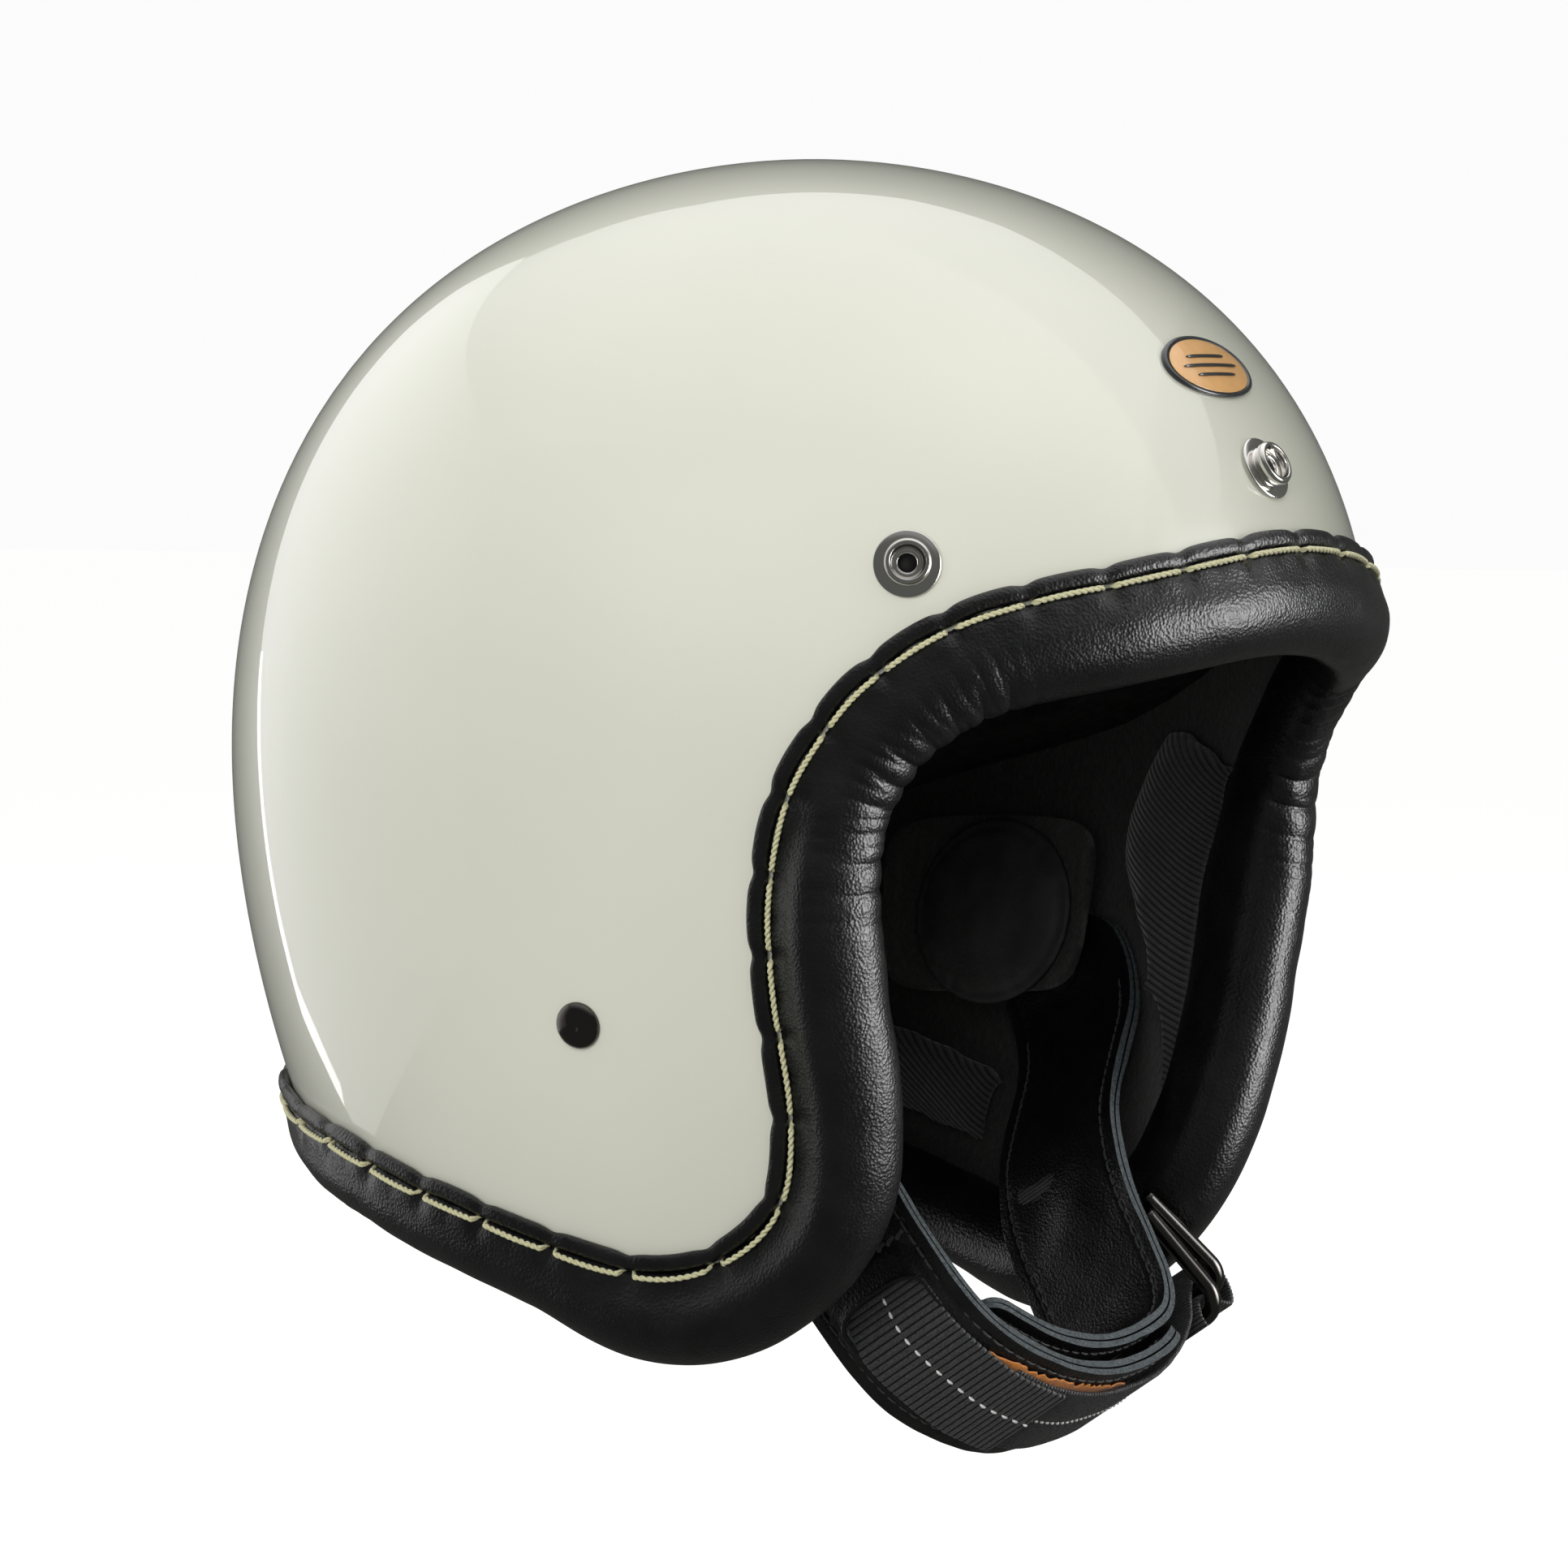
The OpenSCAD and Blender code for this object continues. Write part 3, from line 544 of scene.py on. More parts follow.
BADGE_DARK = enamel("badge_dark", (0.02, 0.022, 0.026), (0.015, 0.017, 0.02))
BADGE_TAN = enamel("badge_tan", (0.80, 0.45, 0.17), (0.74, 0.40, 0.15))


# ---- shell ---------------------------------------------------------------------------------
POLE = bearing(180, 53)
SHELL_ROWS = 72
SHELL_COLS = 360


def make_shell():
    """The shell, from the pole at the back of the head to its edge under the roll."""
    s = np.linspace(0, seam.length, SHELL_COLS + 1)[:-1]
    edge = unit(seam.point(s, SHELL_TUCK, 0.0))
    t = np.arange(1, SHELL_ROWS + 1) / SHELL_ROWS
    ways = between(POLE[None, None], edge[None], t[:, None] + 0 * edge[None, :, 0])
    points, faces = two_sided(under(POLE), under(ways), under(POLE, SHELL_THICKNESS),
                              under(ways, SHELL_THICKNESS))
    outside = SHELL_ROWS * SHELL_COLS
    slots = [0] * outside + [1] * (len(faces) - outside)
    shell = add_mesh("shell_gelcoat", points, faces, [SHELL_LOOK, FLEECE], "helmet",
                     slots)
    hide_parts("shell")


# ---- edge roll, bead and stitches ----------------------------------------------------------
STITCH_PITCH = 18.6
STITCH_COUNT = round(seam.length / STITCH_PITCH)
PITCH = seam.length / STITCH_COUNT
ROLL_SECTION = [(4.4, 0.8), (4.9, 2.0), (6.6, 3.0), (9.6, 3.7), (15, 4.4), (21, 2.8), (25.4, -1.6),
                (26.4, -7), (23.2, -11.3), (16, -13.5), (9, -12.5), (4.9, -8.6), (4.8, -4.2)]
ROLL_STATIONS = 1800
ROLL_SKIN = 1.2
GATHER_LINE = 24.0
GATHER_DEPTH = -4.0
GATHER_PITCH = 6.4
GATHER_REACH = 14.0
PUCKER_DEPTH = 1.15
FOLD_DEPTH = 0.5
HOLE_PULL = 0.75
PILLOW_RISE = 0.35
CHEEK_FULLNESS = 6.5
BEAD_STATIONS = 1500
BEAD_SIDES = 18
STITCH_HIDDEN = 1.7
STITCH_TURN = 3.1
STRAND_RADIUS = 0.40
STRAND_OFFSET = 0.30


def hole_distance(s):
    """Distance along the seam to the nearest stitch hole."""
    t = np.mod(s, PITCH)
    return np.minimum(t, PITCH - t)


def lumps(points, size, seed):
    """Smooth random swells over points, about -1 to 1."""
    made = np.random.default_rng(seed)
    total = np.zeros(points.shape[:-1])
    for _ in range(9):
        way = unit(made.normal(size=3)) * 2 * np.pi / (size * made.uniform(0.75, 1.6))
        total += np.sin(points @ way + made.uniform(0, 2 * np.pi))
    return total / 3


def gathers(s):
    """How far the leather is gathered on the inside of each bend, from 0 to 1."""
    ahead = seam.point(s + GATHER_REACH, GATHER_LINE, GATHER_DEPTH)
    behind = seam.point(s - GATHER_REACH, GATHER_LINE, GATHER_DEPTH)
    inner = np.linalg.norm(ahead - behind, axis=-1)
    return smoothstep(0.86, 0.66, inner / (2 * GATHER_REACH))


def make_roll():
    """The stuffed leather roll, gathered in the bends and pulled down at the stitch holes."""
    s = np.arange(ROLL_STATIONS) * seam.length / ROLL_STATIONS
    section = resample(spline(ROLL_SECTION, 8), 60)
    along = unit(np.gradient(section, axis=0))
    normal = np.stack([-along[:, 1], along[:, 0]], -1)
    p, q = section[:, 0][None, :], section[:, 1][None, :]
    rest = seam.point(s[:, None], p, q)

    tight = gathers(s)
    # arc length along the gathered line counts the creases
    line = seam.point(s, GATHER_LINE, GATHER_DEPTH)
    run = np.concatenate([[0], np.cumsum(np.linalg.norm(np.diff(line, axis=0), axis=1))])
    phase = np.pi * run / GATHER_PITCH + 0.7 * lumps(line, 34, 3)
    lobes = 1 - np.abs(np.sin(phase)) ** 0.6
    inner_edge = smoothstep(15, 25, section[:, 0]) * smoothstep(-13, -7, section[:, 1])
    uneven = 0.65 + 0.35 * lumps(line, 21, 6)
    puckers = -PUCKER_DEPTH * (tight * lobes * uneven)[:, None] * inner_edge[None, :]
    # finer folds run from the inner edge up over the roll, and lean as they go
    slant = 0.16 * (p - GATHER_LINE)
    folds = np.abs(np.sin(1.9 * phase[:, None] + slant + 0.8 * lumps(rest, 20, 4))) ** 0.6
    spread = smoothstep(8, 19, section[:, 0]) * smoothstep(-13, -6, section[:, 1])
    patchy = 0.6 + 0.4 * lumps(rest, 16, 5)
    puckers -= FOLD_DEPTH * (1 - folds) * tight[:, None] * spread[None, :] * patchy

    # each stitch pulls the leather down at its holes
    dist = hole_distance(s)[:, None]
    near_seam = smoothstep(11.5, 5.0, p) * (q > -4)
    pull = -HOLE_PULL * np.exp(-(dist / 2.4) ** 2) * near_seam
    pillow = PILLOW_RISE * np.sin(np.pi * np.clip(dist / (PITCH / 2), 0, 1))
    pillow = pillow * smoothstep(16, 7, p) * (q > -4)
    swell = 0.22 * lumps(rest, 46, 11) + 0.1 * lumps(rest, 15, 12)
    free = smoothstep(4.9, 8, p) * (q > -4) + (q <= -4) * smoothstep(-5, -9, q)
    push = puckers + pull + pillow * near_seam + swell * free
    # the roll is stuffed fuller beside the cheeks
    place = seam.point(s, 0.0, 0.0)
    cheek = smoothstep(0, -55, place[:, 2]) * smoothstep(10, -35, place[:, 1])
    push += CHEEK_FULLNESS * cheek[:, None] * smoothstep(5.5, 17, p) * smoothstep(-9, 1, q)

    p2 = p + push * normal[None, :, 0]
    q2 = q + push * normal[None, :, 1]
    points = seam.point(s[:, None] + 0 * p, p2, q2)
    # the hidden inner face closes the hollow skin
    back_p = (p - ROLL_SKIN * normal[None, :, 0])[:, ::-1]
    back_q = (q - ROLL_SKIN * normal[None, :, 1])[:, ::-1]
    back = seam.point(s[:, None] + 0 * back_p, back_p, back_q)
    ring = np.concatenate([points, back[:, ::6]], axis=1)
    faces = grid_faces(ROLL_STATIONS, ring.shape[1], close_rows=True, close_cols=True)
    roll = add_mesh("roll_leather", ring.reshape(-1, 3), faces, ROLL_LEATHER, "helmet")
    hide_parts("edge_roll_leather", "edge_roll_core")


def make_bead():
    """The piping bead between shell and roll, pinched at each stitch hole."""
    s = np.arange(BEAD_STATIONS) * seam.length / BEAD_STATIONS
    dist = hole_distance(s)
    pinch = np.exp(-(dist / 2.2) ** 2)
    a = 2 * np.pi * np.arange(BEAD_SIDES) / BEAD_SIDES
    centre_p = 2.25 + 0.35 * pinch - 0.25 * np.sin(np.pi * dist / PITCH)
    half_w = 2.05 - 0.28 * pinch
    half_h = 1.5 - 0.32 * pinch
    p = centre_p[:, None] + half_w[:, None] * np.sin(a)
    q = 1.55 - 0.15 * pinch[:, None] + half_h[:, None] * np.cos(a)
    points = seam.point(s[:, None] + 0 * p, p, q)
    points += 0.05 * lumps(points, 12, 21)[..., None] * unit(points)
    faces = grid_faces(BEAD_STATIONS, BEAD_SIDES, close_rows=True, close_cols=True, flip=True)
    bead = add_mesh("piping_bead_leather", points.reshape(-1, 3), faces, ROLL_LEATHER, "helmet")
    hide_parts("piping_bead")


def make_stitches():
    """One twisted two-ply stitch between each two holes, its ends diving into them."""
    parts = Parts()
    visible = PITCH - STITCH_HIDDEN
    for i in range(STITCH_COUNT):
        t = np.linspace(0, 1, 61)
        slack = rng.uniform(-0.15, 0.15)
        s = i * PITCH + (PITCH - visible) / 2 + visible * t
        dive = smoothstep(0.07, 0, t) + smoothstep(0.93, 1, t)
        lift = 3.0 + 0.3 * np.sin(np.pi * t) - 2.6 * dive
        p = 5.1 + slack * np.sin(np.pi * t)
        twist = 2 * np.pi * (visible * t / STITCH_TURN) + rng.uniform(0, 6)
        for side in (0, np.pi):
            strand = seam.point(s, p + STRAND_OFFSET * np.cos(twist + side),
                                lift + STRAND_OFFSET * np.sin(twist + side))
            add_tube(parts, strand, STRAND_RADIUS, 8)
    made = parts.mesh("seam_stitches", CREAM_THREAD, "helmet", "waxed_thread")
    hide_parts("seam_thread")


# ---- fittings ------------------------------------------------------------------------------
def turned(name, places, profile, material, slot):
    """The same turned shape at each of several places on the shell."""
    parts = Parts()
    for place in places:
        add_lathe(parts, place, profile)
    return parts.mesh(name, material, "helmet", slot)


def make_snaps():
    """The press studs: a turned cap, a dark foam plug in its hole that also paints the shade in it,
    and the eyelet's tube.
    """
    flange = rounded([(3.15, 0.06), (7.1, 0.06), (7.5, 0.35), (7.3, 0.72), (6.2, 0.85),
                      (4.75, 0.95), (4.55, 1.35), (4.6, 1.75), (5.15, 2.25), (5.2, 3.3),
                      (4.75, 4.0), (3.95, 4.03), (3.85, 3.4), (3.85, 1.2), (3.15, 1.15),
                      (3.15, 0.06)], 0.22)
    studs = turned("snap_stud_caps", SNAP_PLACES, flange, NICKEL, "nickel")
    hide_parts("snap_studs")
    # A dark disc closes each hole: it stands for the dark liner behind and is painted shade inside
    # the open eyelet.
    plug = [(0.0, 0.15), (2.1, 0.15), (2.1, -2.6), (0.0, -2.6)]
    turned("snap_hole_foam_and_shade", SNAP_PLACES, plug, EPS_FOAM, "impact_foam")
    eyelet = rounded([(1.95, -6.0), (2.6, -6.0), (2.62, 1.1), (3.6, 1.22), (3.65, 1.7), (3.0, 2.05),
                      (2.2, 1.95), (1.95, 1.4), (1.95, -6.0)], 0.3)
    eyes = turned("snap_eyelet_tubes", SNAP_PLACES, eyelet, NICKEL, "nickel")
    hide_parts("snap_eyelets")


def make_rivets():
    """Domed caps with a dimple, over the rivets that hold the straps."""
    t = np.linspace(0, 1, 14)
    dome = [(RIVET_RADIUS * math.sin(math.pi / 2 * k),
             0.35 + RIVET_DOME * math.cos(math.pi / 2 * k)) for k in t]
    dimple = [(0.0, 2.45), (0.55, 2.47), (1.0, 2.62), (1.35, 2.74)]
    foot = [(RIVET_RADIUS, 0.15), (5.0, 0.06), (2.5, 0.06)]
    outline = dimple + [d for d in dome if d[0] > 1.5] + foot
    caps = turned("rivet_cap_domes", RIVET_PLACES, outline, DARK_NICKEL, "dark_nickel")
    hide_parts("rivet_caps")


def on_badge(x, y, height):
    """Points x across and y up from the badge's middle, at a height over the shell."""
    here = under(bearing(*BADGE_PLACE))
    right = np.array([1.0, 0.0, 0.0])
    up = np.cross(outward(here), right)
    return under(here + x[:, None] * right + y[:, None] * up, -height)


def oval(share, height):
    """Points of an oval ring on the forehead, at a share of the badge's size."""
    a = 2 * np.pi * np.arange(BADGE_SIDES) / BADGE_SIDES
    return on_badge(share * BADGE_LENGTH / 2 * np.cos(a), share * BADGE_HEIGHT / 2 * np.sin(a),
                    height)


def oval_disc(name, rows, material):
    """A thin oval piece from rings of (share, height), closed in the middle."""
    rings = [oval(share, height) for share, height in rows]
    points, faces = closed_band(np.array(rings), rings[0].mean(0), rings[-1].mean(0), flip=True)
    return add_mesh(name, points, faces, material, "helmet")


def make_badge():
    """A plain oval badge: a dark plate, a tan fill and three bars."""
    plate = oval_disc("badge_oval_plate", [(0.3, 0.62), (0.88, 0.62), (0.9, 0.95), (0.96, 1.0),
                                           (1.0, 0.75), (1.0, 0.06), (0.5, 0.06)],
                      BADGE_DARK)
    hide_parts("badge_plate")
    fill = oval_disc("badge_oval_fill", [(0.3, 0.86), (0.86, 0.85), (0.875, 0.8), (0.875, 0.66),
                                         (0.3, 0.66)], BADGE_TAN)
    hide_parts("badge_inlay")
    # three plain bars fill the middle of the badge
    parts = Parts()
    for y, half in BADGE_BARS:
        x = np.linspace(-half, half, 25)
        line = on_badge(x, y + 0 * x, 0.95)
        add_tube(parts, line, 0.42 * np.sqrt(np.clip(1 - (x / half) ** 8, 0.02, 1)), 8)
    parts.mesh("badge_bars", BADGE_DARK, "helmet", "badge_metal")


# ---- pads ----------------------------------------------------------------------------------
PAD_VOXEL = 4.0
PAD_FRAMES = 20
PAD_PRESSURE = 4.0
PAD_EVENING = 8
PAD_SEAM = 1.7


def copy_of(node, name, shrink):
    """A new mesh with the shape of a CAD pad, moved in along its normals."""
    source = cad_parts[node]
    mesh = source.data.copy()
    mesh.transform(source.matrix_world)
    mesh.materials.clear()
    obj = bpy.data.objects.new(name, mesh)
    bpy.context.scene.collection.objects.link(obj)
    remesh = obj.modifiers.new("remesh", "REMESH")
    remesh.mode = "VOXEL"
    remesh.voxel_size = PAD_VOXEL * MM
    remesh.use_smooth_shade = True
    apply_modifiers(obj)
    move_in(obj.data, shrink)
    return obj


def read_points(mesh):
    """Mesh points in millimetres."""
    flat = np.zeros(len(mesh.vertices) * 3)
    mesh.vertices.foreach_get("co", flat)
    return flat.reshape(-1, 3) / MM


def write_points(mesh, points):
    mesh.vertices.foreach_set("co", (points * MM).ravel())
    mesh.update()


def move_in(mesh, depth):
    """Moves a mesh's points in along its normals, by one depth or one for each."""
    normals = np.zeros(len(mesh.vertices) * 3)
    mesh.vertices.foreach_get("normal", normals)
    write_points(mesh, read_points(mesh) - depth * normals.reshape(-1, 3))


def apply_modifiers(obj):
    """Puts the mesh that the modifiers make in the place of the object's own."""
    graph = bpy.context.evaluated_depsgraph_get()
    graph.update()
    made = bpy.data.meshes.new_from_object(obj.evaluated_get(graph), depsgraph=graph)
    obj.modifiers.clear()
    old = obj.data
    obj.data = made
    bpy.data.meshes.remove(old)


def blow_up(obj, pinned, cap):
    """Swells a pad by cloth simulation, by cap at the most. Pinned points stay in place."""
    start = read_points(obj.data)
    group = obj.vertex_groups.new(name="sewn")
    group.add([int(i) for i in np.flatnonzero(pinned)], 1.0, "REPLACE")
    cloth = obj.modifiers.new("cloth", "CLOTH")
    settings = cloth.settings
    settings.use_pressure = True
    settings.uniform_pressure_force = PAD_PRESSURE
    settings.effector_weights.gravity = 0.0
    settings.vertex_group_mass = "sewn"
    settings.quality = 5
    settings.tension_stiffness = settings.compression_stiffness = 25
    settings.shear_stiffness = 15
    settings.bending_stiffness = 2
    cloth.collision_settings.use_collision = False
    cloth.point_cache.frame_end = PAD_FRAMES
    scene = bpy.context.scene
    for number in range(1, PAD_FRAMES + 1):
        scene.frame_set(number)
    apply_modifiers(obj)
    scene.frame_set(1)
    moved = read_points(obj.data) - start
    far = np.linalg.norm(moved, axis=1, keepdims=True)
    write_points(obj.data, start + moved * np.minimum(1, cap / np.maximum(far, 1e-6)))


def finish_pad(obj, material, node, seams=None, depth=0.0):
    """Smooths a pad, sews its seams into it, and makes it stand for its CAD node. seams gives
    the distance of each point to a seam."""
    even = obj.modifiers.new("even", "SMOOTH")
    even.factor = 0.6
    even.iterations = PAD_EVENING
    surface = obj.modifiers.new("smooth", "SUBSURF")
    surface.levels = surface.render_levels = 1
    apply_modifiers(obj)
    if seams is not None:
        groove = np.exp(-(seams(read_points(obj.data)) / PAD_SEAM) ** 2)
        move_in(obj.data, depth * groove[:, None])
    obj.data.materials.append(material)
    obj.data.polygons.foreach_set("use_smooth", [True] * len(obj.data.polygons))
    obj.data.update()
    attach(obj, "helmet")
    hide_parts(node)


def bearing_of(points):
    return np.degrees(np.arctan2(-points[:, 0], -points[:, 1]))


def crown_seams(points):
    """Distance to the six seams that run down from the crown."""
    axis = unit(POLE)
    e1 = unit(np.cross([1.0, 0.0, 0.0], axis))
    e2 = np.cross(axis, e1)
    x, y = points @ e1, points @ e2
    a = np.arctan2(y, x)
    wedge = np.pi / 3
    off = np.mod(a + wedge / 2, wedge) - wedge / 2
    return np.hypot(x, y) * np.abs(np.sin(off))


def make_pads():
    """The soft lining, each pad swollen from the shape of its CAD node."""
    crown = copy_of("crown_pad", "crown_pad_fleece", 0.6)
    blow_up(crown, crown_seams(read_points(crown.data)) < 2.5, cap=2.5)
    finish_pad(crown, FLEECE, "crown_pad", crown_seams, 1.2)

    brow = copy_of("forehead_pad", "forehead_pad_fleece", 0.8)
    blow_up(brow, np.abs(bearing_of(read_points(brow.data))) > 44, cap=3.0)
    finish_pad(brow, FLEECE, "forehead_pad")

    for side, sign in (("right", -1), ("left", 1)):
        cheek = copy_of("cheek_pad_" + side, "cheek_pad_knit_" + side, 0.8)
        blow_up(cheek, np.zeros(len(cheek.data.vertices), bool), cap=1.6)
        finish_pad(cheek, KNIT, "cheek_pad_" + side)
        make_ear_lining(side, sign)
        make_ear_patch(side, sign)

    neck = copy_of("neck_pad", "neck_pad_knit", 0.8)
    blow_up(neck, np.abs(read_points(neck.data)[:, 0]) < 1.5, cap=1.6)
    finish_pad(neck, KNIT, "neck_pad", lambda points: points[:, 0], 0.8)


LINING_MIDDLE = (92.0, -29.5)
LINING_HALF = (17.8, 9.4)
LINING_DEPTHS = (15.6, 18.4)
LINING_SQUARE = 0.42
LINING_ROWS = 20
LINING_COLS = 120


def make_ear_lining(side, sign):
    """The fleece behind the ear patch: a thin pad with a sewn border and round corners."""
    share = np.arange(1, LINING_ROWS + 1)[:, None] / LINING_ROWS
    a = 2 * np.pi * np.arange(LINING_COLS)[None, :] / LINING_COLS
    across = share * np.sign(np.cos(a)) * np.abs(np.cos(a)) ** LINING_SQUARE
    along = share * np.sign(np.sin(a)) * np.abs(np.sin(a)) ** LINING_SQUARE
    ways = bearing(-sign * (LINING_MIDDLE[0] + LINING_HALF[0] * across),
                   LINING_MIDDLE[1] + LINING_HALF[1] * along)
    top, bottom = LINING_DEPTHS
    round_off = 0.5 * (bottom - top) * (1 - np.sqrt(np.clip(1 - share ** 8, 0, 1)))
    border = 0.5 * np.exp(-((share - 0.9) * 35 / 1.2) ** 2)
    middle = bearing(-sign * LINING_MIDDLE[0], LINING_MIDDLE[1])
    inner = under(ways, 0.0) - (bottom - round_off - border)[..., None] * outward(ways)
    outer = under(ways, 0.0) - (top + round_off)[..., None] * outward(ways)
    grain = 0.12 * lumps(inner, 7, 91)[..., None] * outward(ways)
    points, faces = two_sided(under(middle) - bottom * outward(middle), inner + grain,
                              under(middle) - top * outward(middle), outer, flip=sign > 0)
    lining = add_mesh("ear_lining_fleece_" + side, points, faces, FLEECE, "helmet")
    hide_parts("ear_lining_" + side)


EAR_PATCH_PLACE = (90, -31)
EAR_PATCH_LIFT = 20.5
EAR_PATCH_RADIUS = 22.0
EAR_PATCH_ROWS = 26
EAR_PATCH_COLS = 96
EAR_DOME = 6.0
EAR_RIPPLES = 24


def make_ear_patch(side, sign):
    """A domed leather patch with a sewn edge, over the lining of the ear pocket."""
    v = bearing(-sign * EAR_PATCH_PLACE[0], EAR_PATCH_PLACE[1])
    n = outward(v)
    e1 = unit(np.cross([0.0, 0.0, 1.0], n))
    e2 = np.cross(n, e1)
    base = under(v) - EAR_PATCH_LIFT * n
    rows, cols = EAR_PATCH_ROWS, EAR_PATCH_COLS
    share = np.arange(1, rows + 1) / rows
    a = 2 * np.pi * np.arange(cols) / cols
    flat = np.cos(a)[:, None] * e1 + np.sin(a)[:, None] * e2
    dome = 1 + (EAR_DOME - 1.2) * np.cos(np.pi / 2 * share) ** 0.85
    ripple = 0.16 * np.sin(EAR_RIPPLES * a)[None, :] * smoothstep(0.72, 0.9, share)[:, None]
    groove = 0.55 * np.exp(-((share - 0.9) * EAR_PATCH_RADIUS / 0.7) ** 2)
    height = dome[:, None] + ripple - groove[:, None]
    rings = (base + EAR_PATCH_RADIUS * share[:, None, None] * flat[None]
             - height[..., None] * n)
    back = base + EAR_PATCH_RADIUS * flat - 0.1 * n
    points = np.vstack([base - EAR_DOME * 0.97 * n, rings.reshape(-1, 3), back, base - 0.1 * n])
    faces = fan(0, list(range(1, cols + 1)), flip=True)
    faces += grid_faces(rows + 1, cols, close_cols=True, first=1)
    faces += fan(len(points) - 1, list(range(1 + rows * cols, 1 + (rows + 1) * cols)))
    patch = add_mesh("ear_patch_dome_" + side, points, faces, PATCH_LEATHER, "helmet")
    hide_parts("ear_patch_" + side)


# ---- chin strap ----------------------------------------------------------------------------
# The straps run in a plane that leans forward as it goes down from the rivets. A route is a
# line in that plane: x across the head, and the distance down from the rivets.
PIVOT = np.array([0.0, -14.7424, -73.7709])
LEAN = math.radians(32)
STRAP_HALF = 18.5
PLY_INNER = 0.05
PLY_OUTER = 1.7
EDGE_SEAM = 15.2
STRAP_PITCH = 3.3
STRAP_STEP = 0.8
STRAP_CORNER = 5.0
STRAP_ROUNDING = 0.32
STRAP_TOP_REACH = 40
STRAP_END_REACH = 24
STRAP_THREAD = 0.24
CROSS_THREAD = 0.46
CROSS_PITCH = 2.9
WEBBING_HALF = 12.5
WEBBING_THICKNESS = 1.3

RIGHT_ROUTE = [(-95, -12), (-92.6, 0), (-90, 9), (-83, 19), (-70, 31), (-56, 42), (-44.8, 54),
               (-42, 68), (-37.5, 84), (-30, 95.5), (-15, 104.5), (0, 108), (15, 107.3),
               (29, 104), (37.5, 99.5)]
LEFT_ROUTE = [(95, -12), (92.6, 0), (90, 9), (83, 19), (69, 31), (55.5, 43), (48.3, 54),
              (44.6, 64.5), (43, 77), (41, 88), (34.5, 95.8), (19, 100.3), (4, 101.3),
              (-10, 98.5), (-20, 93.3), (-29.5, 86.5)]
# Each webbing starts inside its strap: the right one comes out at the chin, and the left one
# makes the loop that holds the D rings
RIGHT_WEBBING_ROUTE = [(-94.5, -9.5), *RIGHT_ROUTE[1:7], (-42.1, 67), (-40.6, 76),
                       (-40.7, 83.5), (-38, 90), (-31.8, 97.6), (-23.9, 104.8),
                       (-14.3, 109.8), (-11.5, 110.9)]
LEFT_WEBBING_ROUTE = [(94.5, -9.5), *LEFT_ROUTE[1:6], (47.9, 53), (49.9, 59), (53.6, 62.4),
                      (56, 66.2), (55.4, 70.1), (52.7, 73.8), (49.6, 75.4), (47.1, 73.2),
                      (47.1, 69.2), (48.5, 65.6), (48.8, 62.8)]
CHIN_WEBBING_ROUTE = [(-23.7, 103.1), (-14.3, 108.2), (0, 111.4), (15, 110.8), (29, 108.4),
                      (42.5, 102.9), (51.5, 96.8), (56.3, 90.8), (61.3, 86), (66.3, 83),
                      (71.3, 83.8), (73.5, 88.6), (71.2, 94), (65.2, 93), (59.5, 91.9),
                      (56.5, 96), (57, 99.5)]


class Route:
    """A path in the strap plane by arc length, with a side direction and a width across it.
    gap is the spacing of its points."""

    def __init__(self, points, gap=0.4):
        fine = spline(points, 30)
        length = np.linalg.norm(np.diff(fine, axis=0), axis=1).sum()
        self.path = resample(fine, int(length / gap) + 1)
        step = unit(np.gradient(self.path, axis=0))
        self.side = np.stack([-step[:, 1], step[:, 0]], -1)
        self.length = length
        self.run = np.linspace(0, length, len(self.path))

    def point(self, s, off, w):
        """Point at arc length s, moved sideways by off, at w across the strap."""
        s, off, w = np.broadcast_arrays(np.asarray(s, float), off, w)
        xt = [np.interp(s, self.run, self.path[:, k]) for k in (0, 1)]
        side = [np.interp(s, self.run, self.side[:, k]) for k in (0, 1)]
        x, t = xt[0] + off * side[0], xt[1] + off * side[1]
        return PIVOT + np.stack([x, -t * math.sin(LEAN) + w * math.cos(LEAN),
                                 -t * math.cos(LEAN) - w * math.sin(LEAN)], -1)


RIGHT = Route(RIGHT_ROUTE)
LEFT = Route(LEFT_ROUTE)


def slab(name, outer, inner, keep, materials, node):
    """A thin piece from two grids of points, with walls round every edge and hole. keep says
    which cells are there. The second material is on the walls."""
    rows, cols = outer.shape[:2]
    count = rows * cols
    points = np.vstack([outer.reshape(-1, 3), inner.reshape(-1, 3)])
    faces, slots = [], []
    for r in range(rows - 1):
        for c in range(cols - 1):
            if not keep[r, c]:
                continue
            a, d = r * cols + c, (r + 1) * cols + c
            b, e = a + 1, d + 1
            faces += [(a, b, e, d), (count + a, count + d, count + e, count + b)]
            slots += [0, 0]
            for rr, cc, u, v in ((r - 1, c, a, b), (r, c + 1, b, e), (r + 1, c, e, d),
                                 (r, c - 1, d, a)):
                inside = 0 <= rr < rows - 1 and 0 <= cc < cols - 1 and keep[rr, cc]
                if not inside:
                    faces.append((v, u, count + u, count + v))
                    slots.append(1)
    used = np.unique(np.concatenate([np.array(f) for f in faces]))
    index = np.full(2 * count, -1)
    index[used] = np.arange(len(used))
    faces = [tuple(int(index[i]) for i in f) for f in faces]
    obj = add_mesh(name, points[used], faces, materials, "chin_strap", face_slots=slots)
    round_edges = obj.modifiers.new("round", "BEVEL")
    round_edges.width = STRAP_ROUNDING * MM
    round_edges.segments = 3
    round_edges.limit_method = "ANGLE"
    round_edges.angle_limit = math.radians(50)
    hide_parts(node)


def across_strap():
    """Widths across a strap, closer together at the two seams."""
    half = np.concatenate([np.linspace(0, 13.2, 12), np.linspace(13.7, 16.6, 9),
                           np.linspace(17.1, STRAP_HALF, 4)])
    return np.concatenate([-half[:0:-1], half])


